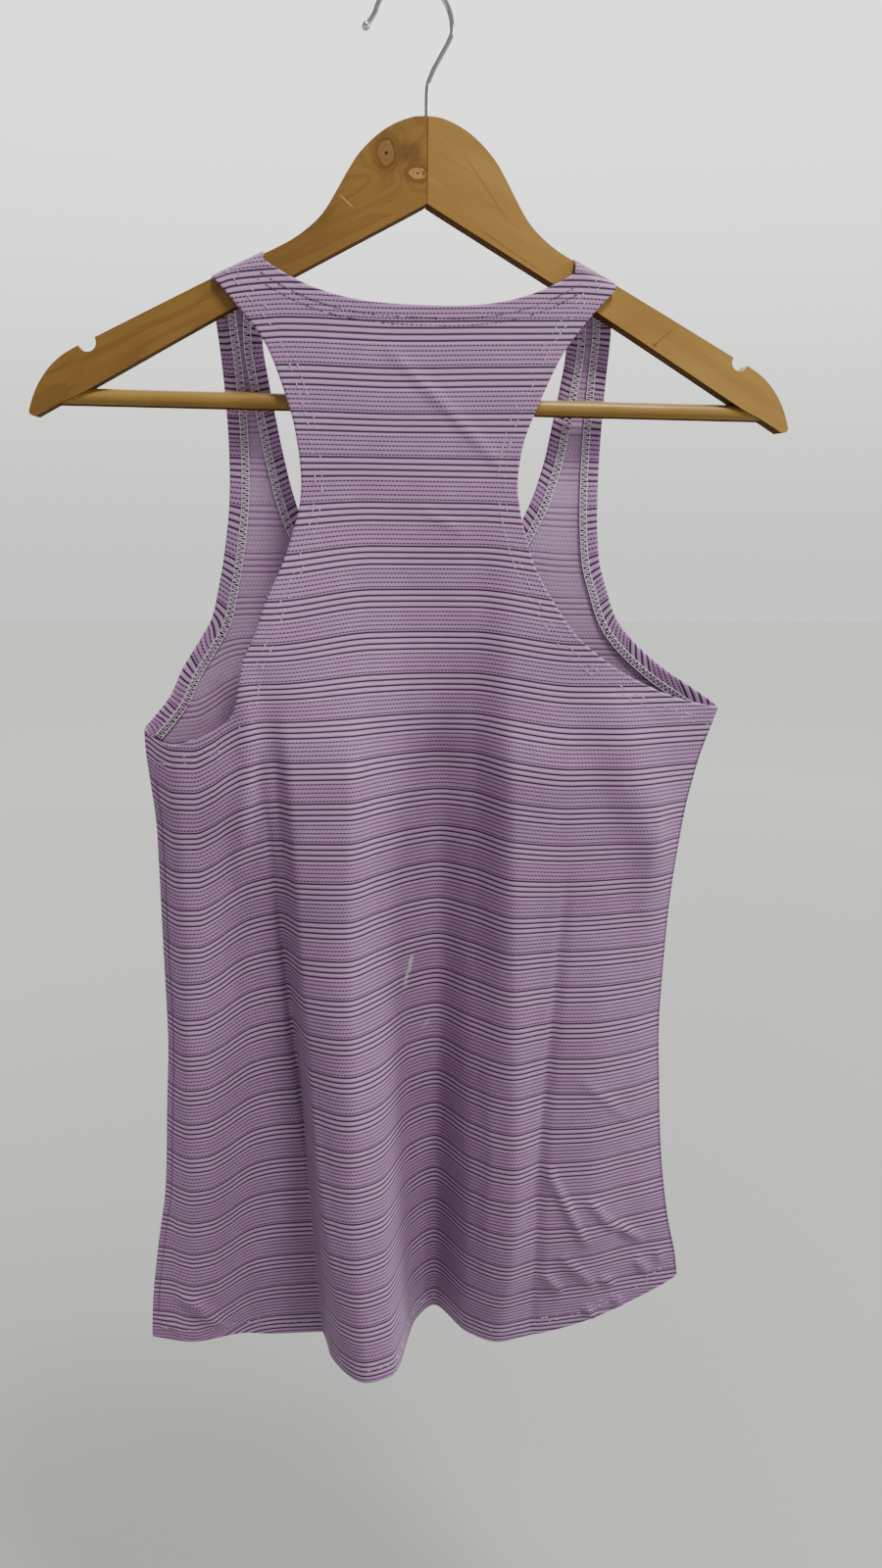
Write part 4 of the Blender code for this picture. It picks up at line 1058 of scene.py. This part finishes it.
def thread_tree():
    """One thread that follows a line."""
    tree = bpy.data.node_groups.new("looper thread", "GeometryNodeTree")
    face = tree.interface
    face.new_socket("Geometry", in_out="INPUT", socket_type="NodeSocketGeometry")
    face.new_socket("Thread radius", in_out="INPUT", socket_type="NodeSocketFloat")
    face.new_socket("Thread", in_out="INPUT", socket_type="NodeSocketMaterial")
    face.new_socket("Geometry", in_out="OUTPUT", socket_type="NodeSocketGeometry")
    nodes, link = tree.nodes, tree.links.new
    given, done = nodes.new("NodeGroupInput"), nodes.new("NodeGroupOutput")
    line = nodes.new("GeometryNodeMeshToCurve")
    ring = nodes.new("GeometryNodeCurvePrimitiveCircle")
    ring.inputs["Resolution"].default_value = 5
    tube = nodes.new("GeometryNodeCurveToMesh")
    tube.inputs["Fill Caps"].default_value = True
    real = nodes.new("GeometryNodeRealizeInstances")
    paint = nodes.new("GeometryNodeSetMaterial")
    smooth = nodes.new("GeometryNodeSetShadeSmooth")
    link(given.outputs["Geometry"], line.inputs[0])
    link(given.outputs["Thread radius"], ring.inputs["Radius"])
    link(line.outputs[0], tube.inputs["Curve"])
    link(ring.outputs[0], tube.inputs["Profile Curve"])
    link(tube.outputs[0], real.inputs[0])
    link(real.outputs[0], smooth.inputs[0])
    link(smooth.outputs[0], paint.inputs["Geometry"])
    link(given.outputs["Thread"], paint.inputs["Material"])
    link(paint.outputs[0], done.inputs[0])
    return tree


stitches = stitch_tree()
looper = thread_tree()


def grown(name, lines, tree, values):
    """Runs a tree on some lines of points and keeps the result as a plain mesh."""
    corners, edges = [], []
    for line in lines:
        start = len(corners)
        corners += [tuple(p) for p in line]
        edges += [(start + i, start + i + 1) for i in range(len(line) - 1)]
    mesh = bpy.data.meshes.new(name + " line")
    mesh.from_pydata(corners, edges, [])
    line_piece = bpy.data.objects.new(name + " line", mesh)
    bpy.context.scene.collection.objects.link(line_piece)
    grow = line_piece.modifiers.new("grow", "NODES")
    grow.node_group = tree
    sockets = {s.name: s.identifier for s in tree.interface.items_tree if s.in_out == "INPUT"}
    for label, value in values.items():
        grow[sockets[label]] = value
    graph = bpy.context.evaluated_depsgraph_get()
    result = bpy.data.meshes.new_from_object(line_piece.evaluated_get(graph))
    bpy.data.objects.remove(line_piece, do_unlink=True)
    result.name = name
    piece = bpy.data.objects.new(name, result)
    bpy.context.scene.collection.objects.link(piece)
    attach(piece, "root")
    return piece


def beside(cloth, edge, inset, out):
    """The line on the cloth that runs a distance in from an edge."""
    along = np.gradient(edge, axis=0)
    along /= np.linalg.norm(along, axis=1)[:, None]
    inward = np.stack([-along[:, 1], along[:, 0]], 1)
    run = edge + inward * inset
    x, room = seam_room(run[:, 0], run[:, 1])
    return cloth.place(x, run[:, 1], np.full(len(run), out))[room > 0.15]


def zigzag(cloth, edge, near, far, out):
    """A thread that swings between two insets once a stitch, in soft turns."""
    lengths = np.concatenate([[0.0], np.cumsum(np.linalg.norm(np.diff(edge, axis=0), axis=1))])
    turns = int(lengths[-1] / stitch_pitch)
    at = np.linspace(0.0, lengths[-1], turns * 6 + 1)
    even = np.stack([np.interp(at, lengths, edge[:, k]) for k in range(2)], 1)
    along = np.gradient(even, axis=0)
    along /= np.linalg.norm(along, axis=1)[:, None]
    inward = np.stack([-along[:, 1], along[:, 0]], 1)
    swing = 0.5 + 0.5 * np.sin(2 * math.pi * np.arange(len(at)) / 6 + 0.26)
    run = even + inward * (near + (far - near) * swing)[:, None]
    x, room = seam_room(run[:, 0], run[:, 1])
    return cloth.place(x, run[:, 1], out * room)[room > 0.15]


def sew(name, cloth, edges, inset, thread, seen=0.85):
    """Both rows of the face, and inside the looper thread over the cut edge with a thread along each side."""
    rows = [beside(cloth, edge, inset - gap, face_out + 0.00010) for edge in edges for gap in (0.0, needle_gap)]
    face = grown(name + "_face_stitches", rows, stitches, {
        "Pitch": stitch_pitch, "Stitch length": 0.0021, "Thread radius": 0.00029, "Share seen": seen,
        "Thread": thread})
    turns = [zigzag(cloth, edge, inset - needle_gap - 0.0002, inset + 0.0004, -0.00165) for edge in edges]
    turns += [beside(cloth, edge, inset - gap, -0.00160) for edge in edges for gap in (0.0, needle_gap)]
    back = grown(name + "_looper_thread", turns, looper, {"Thread radius": 0.00026, "Thread": looper_thread})
    return [face, back]


back_sewing = sew("back_neck", back_cloth, [back_neck_edge[::-1]], 0.0100, dark_thread_and_seam_shade, 0.92)
back_sewing += sew("back_armholes", back_cloth, [back_armhole_left, back_armhole_right[::-1]], 0.0112, pale_thread,
                    0.60)
back_sewing += sew("back_bottom", back_cloth, [back_bottom], 0.0128, pale_thread, 0.40)
front_sewing = sew("front_neck", front_cloth, [front_neck_edge[::-1]], 0.0100, pale_thread)
front_sewing += sew("front_armholes", front_cloth, [front_armhole_left, front_armhole_right[::-1]], 0.0105,
                    pale_thread)
front_sewing += sew("front_bottom", front_cloth, [front_bottom], 0.0128, pale_thread)

# Each side seam gets a dark lilac thread laid on it: real seam thread, made dark to paint the shade line that the left
# seam makes just inside the cloth's left edge. The right one lies on the edge itself.
def seam_line(number, inside, low, high):
    heights = np.linspace(low, high, 150)
    across = through(side_seams[:, 0], side_seams[:, number], heights) + inside
    return back_cloth.place(across, heights, np.full(len(heights), face_out + 0.00004))


back_sewing.append(grown(
    "side_seam_thread_and_shade", [seam_line(1, 0.0040, -0.812, -0.436), seam_line(2, -0.0012, -0.806, -0.412)], looper,
    {"Thread radius": 0.00024, "Thread": dark_thread_and_seam_shade}
))

# ---------------------------------------------------------------- the wooden hanger
# Two shaped softwood halves, glued at the middle, sanded round and varnished. Each has a strap notch near its end
# and a blind hole for the trouser bar. The left half is browner and has the knots.
wood_thick = 0.0125
wood_round = 0.0030
notch_middle = (0.1892, -0.1892)
notch_radius = 0.0050


def wood_look(name, ground, late, deep, grain_angle, grain, knots, marks, seed):
    """Varnished wood, its grain along the arm. knots are (across, height, half width, half height, push, paleness)."""
    made = bpy.data.materials.new(name)
    made.use_nodes = True
    tree = made.node_tree
    shader = tree.nodes["Principled BSDF"]
    place = tree.nodes.new("ShaderNodeTexCoord")
    turn = tree.nodes.new("ShaderNodeMapping")
    turn.inputs["Rotation"].default_value = (0.0, grain_angle, 0.0)
    turn.inputs["Location"].default_value = (seed * 0.37, seed * 0.11, seed * 0.23)
    tree.links.new(place.outputs["Object"], turn.inputs[0])
    apart = tree.nodes.new("ShaderNodeSeparateXYZ")
    tree.links.new(place.outputs["Object"], apart.inputs[0])
    ragged = tree.nodes.new("ShaderNodeTexNoise")
    ragged.inputs["Scale"].default_value = 330.0
    ragged.inputs["Detail"].default_value = 3.0
    tree.links.new(place.outputs["Object"], ragged.inputs["Vector"])
    rag = maths(tree, "MULTIPLY", maths(tree, "SUBTRACT", ragged.outputs[0], 0.5), 0.55)

    def noise(scales, detail):
        stretched = tree.nodes.new("ShaderNodeMapping")
        stretched.inputs["Scale"].default_value = scales
        tree.links.new(turn.outputs[0], stretched.inputs[0])
        made_noise = tree.nodes.new("ShaderNodeTexNoise")
        made_noise.inputs["Scale"].default_value = 1.0
        made_noise.inputs["Detail"].default_value = detail
        tree.links.new(stretched.outputs[0], made_noise.inputs["Vector"])
        return made_noise.outputs[0]

    level = noise((6.0, 40.0, 60.0), 3.0)
    eyes = []
    for across, height, wide, tall, push, paleness in knots:
        dx = maths(tree, "DIVIDE", maths(tree, "SUBTRACT", apart.outputs[0], across), wide)
        dz = maths(tree, "DIVIDE", maths(tree, "SUBTRACT", apart.outputs[2], height), tall)
        square = maths(tree, "ADD", maths(tree, "MULTIPLY", dx, dx), maths(tree, "MULTIPLY", dz, dz))
        away = maths(tree, "SQRT", square)
        near = maths(tree, "EXPONENT", maths(tree, "MULTIPLY", away, -0.85))
        level = maths(tree, "ADD", level, maths(tree, "MULTIPLY", near, push))
        eyes.append((maths(tree, "ADD", away, rag), paleness))
    rings = maths(tree, "FRACT", maths(tree, "MULTIPLY", level, grain))
    ring_edge = tree.nodes.new("ShaderNodeMapRange")
    ring_edge.interpolation_type = "SMOOTHERSTEP"
    tree.links.new(rings, ring_edge.inputs["Value"])
    ring_edge.inputs["From Min"].default_value = 0.35
    ring_edge.inputs["From Max"].default_value = 1.0
    fibre = noise((60.0, 900.0, 1500.0), 3.0)
    patches = noise((14.0, 18.0, 22.0), 2.0)
    colour = blend_colour(tree, maths(tree, "MULTIPLY", ring_edge.outputs[0], 0.32), ground, late)
    patch_share = maths(tree, "MULTIPLY", maths(tree, "SUBTRACT", patches, 0.42), 1.5)
    colour = blend_colour(tree, patch_share, colour, late)
    fibre_share = maths(tree, "MULTIPLY", maths(tree, "SUBTRACT", fibre, 0.50), 0.7)
    colour = blend_colour(tree, fibre_share, colour, deep)
    for away, paleness in eyes:
        pale = tuple(min(1.0, c * 1.8 + 0.03) for c in ground[:3]) + (1.0,)
        around = maths(tree, "MULTIPLY", pulse(tree, away, 1.50, 0.75), 0.55)
        colour = blend_colour(tree, around, colour, late)
        inside_it = maths(tree, "MULTIPLY", pulse(tree, away, 0.86, 0.16), paleness)
        colour = blend_colour(tree, inside_it, colour, pale)
        rim = maths(tree, "ABSOLUTE", maths(tree, "SUBTRACT", away, 1.0))
        colour = blend_colour(tree, maths(tree, "MULTIPLY", pulse(tree, rim, 0.10, 0.12), 0.42), colour, deep)
        outer = maths(tree, "ABSOLUTE", maths(tree, "SUBTRACT", away, 1.38))
        colour = blend_colour(tree, maths(tree, "MULTIPLY", pulse(tree, outer, 0.08, 0.12), 0.25), colour, deep)
        inner = maths(tree, "ABSOLUTE", maths(tree, "SUBTRACT", away, 0.55))
        colour = blend_colour(tree, maths(tree, "MULTIPLY", pulse(tree, inner, 0.07, 0.10), 0.22), colour, deep)
        colour = blend_colour(tree, pulse(tree, away, 0.14, 0.12), colour, (0.022, 0.010, 0.005, 1.0))
    for across, height, length, width, angle, mark in marks:
        dx = maths(tree, "SUBTRACT", apart.outputs[0], across)
        dz = maths(tree, "SUBTRACT", apart.outputs[2], height)
        u = maths(tree, "ADD", maths(tree, "MULTIPLY", dx, math.cos(angle)),
                  maths(tree, "MULTIPLY", dz, math.sin(angle)))
        v = maths(tree, "SUBTRACT", maths(tree, "MULTIPLY", dz, math.cos(angle)),
                  maths(tree, "MULTIPLY", dx, math.sin(angle)))
        u = pulse(tree, maths(tree, "ABSOLUTE", u), length, length * 0.4)
        v = pulse(tree, maths(tree, "ABSOLUTE", v), width, width * 0.6)
        colour = blend_colour(tree, maths(tree, "MULTIPLY", maths(tree, "MULTIPLY", u, v), 0.6), colour, mark)
    tree.links.new(colour, shader.inputs["Base Color"])
    bump = tree.nodes.new("ShaderNodeBump")
    bump.inputs["Strength"].default_value = 0.20
    bump.inputs["Distance"].default_value = 0.0003
    tree.links.new(maths(tree, "ADD", fibre, maths(tree, "MULTIPLY", ring_edge.outputs[0], 0.4)),
                   bump.inputs["Height"])
    tree.links.new(bump.outputs[0], shader.inputs["Normal"])
    shader.inputs["Roughness"].default_value = 0.42
    shader.inputs["Specular IOR Level"].default_value = 0.22
    shader.inputs["Coat Weight"].default_value = 0.10
    shader.inputs["Coat Roughness"].default_value = 0.12
    return made


def painted_shade_wood(name, colour):
    """Painted shade for the faces that look down: the wood's colour made darker, with a rough finish that hardly
    shines.
    """
    made = bpy.data.materials.new(name)
    made.use_nodes = True
    tree = made.node_tree
    shader = tree.nodes["Principled BSDF"]
    place = tree.nodes.new("ShaderNodeTexCoord")
    long_way = tree.nodes.new("ShaderNodeMapping")
    long_way.inputs["Scale"].default_value = (60.0, 700.0, 300.0)
    tree.links.new(place.outputs["Object"], long_way.inputs[0])
    fibre = tree.nodes.new("ShaderNodeTexNoise")
    fibre.inputs["Scale"].default_value = 1.0
    fibre.inputs["Detail"].default_value = 3.0
    tree.links.new(long_way.outputs[0], fibre.inputs["Vector"])
    pale = tuple(c * 1.7 for c in colour[:3]) + (1.0,)
    tree.links.new(blend_colour(tree, fibre.outputs[0], colour, pale), shader.inputs["Base Color"])
    shader.inputs["Roughness"].default_value = 0.85
    shader.inputs["Specular IOR Level"].default_value = 0.05
    return made


underside_shade = painted_shade_wood("wood underside", (0.050, 0.022, 0.006, 1.0))


def paint_underside_shade(mesh, least):
    """Gives the faces that look down the painted-shade look, which is the second one."""
    mesh.materials.append(underside_shade)
    for face in mesh.polygons:
        if face.normal.z < -least:
            face.material_index = 1


left_wood = wood_look(
    "left wood", (0.187, 0.098, 0.021, 1.0), (0.100, 0.045, 0.010, 1.0), (0.034, 0.013, 0.004, 1.0),
    math.radians(27), 5.0, (
        (-0.0151, -0.0858, 0.0050, 0.0070, 1.5, 0.18), (0.0026, -0.0953, 0.0055, 0.0034, -1.2, 0.75),
    ), (
        (-0.0020, -0.0850, 0.0060, 0.0050, 0.0, (0.070, 0.029, 0.008, 1.0)),
        (-0.0373, -0.1110, 0.0042, 0.00025, math.radians(-40), (0.50, 0.36, 0.18, 1.0)),
        (0.0060, -0.0950, 0.0010, 0.0012, 0.0, (0.025, 0.011, 0.005, 1.0)),
    ), 1.0
)
right_wood = wood_look(
    "right wood", (0.290, 0.167, 0.041, 1.0), (0.195, 0.096, 0.020, 1.0), (0.075, 0.030, 0.007, 1.0),
    math.radians(-27), 3.0, (), (
        (0.1438, -0.1810, 0.0012, 0.0010, 0.0, (0.060, 0.024, 0.008, 1.0)),
        (0.1490, -0.1765, 0.0075, 0.00035, math.radians(40), (0.120, 0.052, 0.012, 1.0)),
        (0.0420, -0.1020, 0.0200, 0.00040, math.radians(-52), (0.150, 0.070, 0.014, 1.0)),
        (0.0560, -0.1330, 0.0220, 0.00050, math.radians(-30), (0.160, 0.075, 0.015, 1.0)),
    ), 4.0
)
bar_wood = wood_look(
    "bar wood", (0.250, 0.145, 0.030, 1.0), (0.135, 0.066, 0.014, 1.0), (0.085, 0.035, 0.009, 1.0), 0.0, 5.0,
    (), (), 9.0
)

arm_upper = curve_through(((0.00015, -0.0660), (0.0080, -0.0668), (0.0170, -0.0700), (0.0250, -0.0745),
                           (0.0320, -0.0802), (0.0385, -0.0870), (0.0440, -0.0950), (0.0500, -0.1050),
                           (0.0570, -0.1160), (0.0640, -0.1235), (0.0740, -0.1310), (0.0850, -0.1370)), 0.0022)
arm_slope = curve_through(((0.0850, -0.1370), (0.1150, -0.1512), (0.1842, -0.1862)), 0.0060)
arm_tip = curve_through(((0.1940, -0.1910), (0.2035, -0.1968), (0.2115, -0.2045), (0.2180, -0.2145),
                         (0.2222, -0.2255), (0.2215, -0.2285), (0.2185, -0.2292)), 0.0016)
arm_under = curve_through(((0.2185, -0.2292), (0.2060, -0.2222), (0.1930, -0.2162)), 0.0030)
arm_inside = curve_through(((0.1930, -0.2162), (0.1020, -0.1652), (0.0100, -0.1160), (0.0040, -0.1127),
                            (0.00015, -0.1106)), 0.0060)
notch_curve = np.array([
    (notch_middle[0] + notch_radius * math.cos(a), notch_middle[1] + notch_radius * math.sin(a))
    for a in np.linspace(math.radians(150), math.radians(340), 17)
])
arm_outline = np.concatenate([arm_upper[:-1], arm_slope, notch_curve, arm_tip[:-1], arm_under[:-1], arm_inside])


def arm_piece(name, side, look):
    """One half of the hanger: the outline thickened, with round edges all along it but not at the glue face."""
    shape = bmesh.new()
    ring = [shape.verts.new((hanger_middle + side * x, -wood_thick / 2, z)) for x, z in arm_outline]
    sheet = shape.faces.new(ring if side > 0 else ring[::-1])
    grown_part = bmesh.ops.extrude_face_region(shape, geom=[sheet])
    moved = [v for v in grown_part["geom"] if isinstance(v, bmesh.types.BMVert)]
    bmesh.ops.translate(shape, verts=moved, vec=(0, wood_thick, 0))
    bmesh.ops.recalc_face_normals(shape, faces=shape.faces)
    rims = [
        e for e in shape.edges
        if abs(e.verts[0].co.y - e.verts[1].co.y) < 1e-6
        and max(abs(v.co.x - hanger_middle) for v in e.verts) > 0.0005
    ]
    bmesh.ops.bevel(shape, geom=rims, offset=wood_round, segments=5, affect="EDGES", clamp_overlap=True)
    bmesh.ops.triangulate(shape, faces=[f for f in shape.faces if len(f.verts) > 4])
    mesh = bpy.data.meshes.new(name)
    shape.to_mesh(mesh)
    shape.free()
    mesh.materials.append(look)
    # faces that look down get the darker colour, a painted shade
    paint_underside_shade(mesh, 0.45)
    mesh.shade_smooth()
    mesh.set_sharp_from_angle(angle=math.radians(38))
    piece = bpy.data.objects.new(name, mesh)
    bpy.context.scene.collection.objects.link(piece)
    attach(piece, "root")
    return piece


left_arm = arm_piece("hanger_arm_left_wood", -1, left_wood)
right_arm = arm_piece("hanger_arm_right_wood", 1, right_wood)
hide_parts("hanger_arm_left")
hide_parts("hanger_arm_right")

# ---------------------------------------------------------------- the trouser bar
# A turned dowel, let into a blind hole in each half.
bar_height = -0.2180
bar_radius = 0.0049
bar_end = 0.2110
bar_profile = ((0.0, 0.0), (0.0, 0.0041), (0.0006, 0.0047), (0.0016, bar_radius))


def bar_piece():
    sides = 40
    half = [(-bar_end + along, radius) for along, radius in bar_profile]
    middle = [(x, bar_radius) for x in np.linspace(-bar_end + 0.006, bar_end - 0.006, 60)]
    run = half + middle + [(-x, radius) for x, radius in half[::-1]]
    corners, faces = [], []
    for x, radius in run[1:-1]:
        for s in range(sides):
            a = 2 * math.pi * s / sides
            corners.append((hanger_middle + x, radius * math.cos(a), bar_height + radius * math.sin(a)))
    rows = len(run) - 2
    for r in range(rows - 1):
        for s in range(sides):
            n = (s + 1) % sides
            faces.append((r * sides + s, (r + 1) * sides + s, (r + 1) * sides + n, r * sides + n))
    faces.append(tuple(range(sides)))
    faces.append(tuple((rows - 1) * sides + s for s in range(sides))[::-1])
    piece = mesh_piece("trouser_bar_wood", corners, faces, (bar_wood,))
    # the bar's lower faces get the darker colour, a painted shade
    paint_underside_shade(piece.data, 0.80)
    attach(piece, "root")
    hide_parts("trouser_bar")


bar_piece()

# ---------------------------------------------------------------- the hook
# Bright plated steel wire, 3 mm thick, bent cold, with its cut end closed by a small ball.
wire_radius = 0.0015
hook_radius = 0.0214
ball_radius = 0.0024


def hook_piece():
    middle = np.array((-hanger_middle, wire_radius - hook_radius))
    stem = [(0.0, -0.096), (0.0, -0.080), (0.0, -0.066), (0.0, -0.053), (0.0006, -0.048), (0.0030, -0.042),
            (0.0070, -0.035), (0.0105, -0.029)]
    arc = [tuple(middle + hook_radius * np.array((math.cos(a), math.sin(a))))
           for a in np.linspace(math.radians(-10), math.radians(165), 20)]
    tip = [(arc[-1][0] - 0.0019, arc[-1][1] - 0.0034), (arc[-1][0] - 0.0040, arc[-1][1] - 0.0062)]
    path = curve_through(stem + arc + tip, 0.0012)
    heading = (path[-1] - path[-2]) / np.linalg.norm(path[-1] - path[-2])
    points = [(p, wire_radius) for p in path]
    for angle in np.linspace(math.radians(40), math.radians(176), 14):
        along = ball_radius * (math.cos(math.radians(40)) - math.cos(angle))
        points.append((path[-1] + heading * along, ball_radius * math.sin(angle)))
    sides = 24
    corners, faces = [], []
    places = np.array([p for p, _ in points])
    tangent = np.gradient(places, axis=0)
    tangent /= np.linalg.norm(tangent, axis=1)[:, None]
    for (x, z), (tx, tz), (_, radius) in zip(places, tangent, points):
        for s in range(sides):
            a = 2 * math.pi * s / sides
            side, depth = radius * math.cos(a), radius * math.sin(a)
            corners.append((hanger_middle + x + tz * side, depth, z - tx * side))
    rows = len(points)
    for r in range(rows - 1):
        for s in range(sides):
            n = (s + 1) % sides
            faces.append((r * sides + s, r * sides + n, (r + 1) * sides + n, (r + 1) * sides + s))
    faces.append(tuple(range(sides))[::-1])
    faces.append(tuple((rows - 1) * sides + s for s in range(sides)))
    made = bpy.data.materials.new("bright plating")
    made.use_nodes = True
    tree = made.node_tree
    shader = tree.nodes["Principled BSDF"]
    place = tree.nodes.new("ShaderNodeTexCoord")
    haze = tree.nodes.new("ShaderNodeTexNoise")
    haze.inputs["Scale"].default_value = 240.0
    haze.inputs["Detail"].default_value = 3.0
    tree.links.new(place.outputs["Object"], haze.inputs["Vector"])
    rough = tree.nodes.new("ShaderNodeMapRange")
    tree.links.new(haze.outputs[0], rough.inputs["Value"])
    rough.inputs["From Min"].default_value = 0.35
    rough.inputs["From Max"].default_value = 0.75
    rough.inputs["To Min"].default_value = 0.08
    rough.inputs["To Max"].default_value = 0.14
    tree.links.new(rough.outputs[0], shader.inputs["Roughness"])
    colour = blend_colour(tree, haze.outputs[0], (0.42, 0.42, 0.43, 1.0), (0.60, 0.60, 0.60, 1.0))
    tree.links.new(colour, shader.inputs["Base Color"])
    shader.inputs["Metallic"].default_value = 1.0
    piece = mesh_piece("hook_wire", corners, faces, (made,))
    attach(piece, "root")
    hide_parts("hook")


hook_piece()
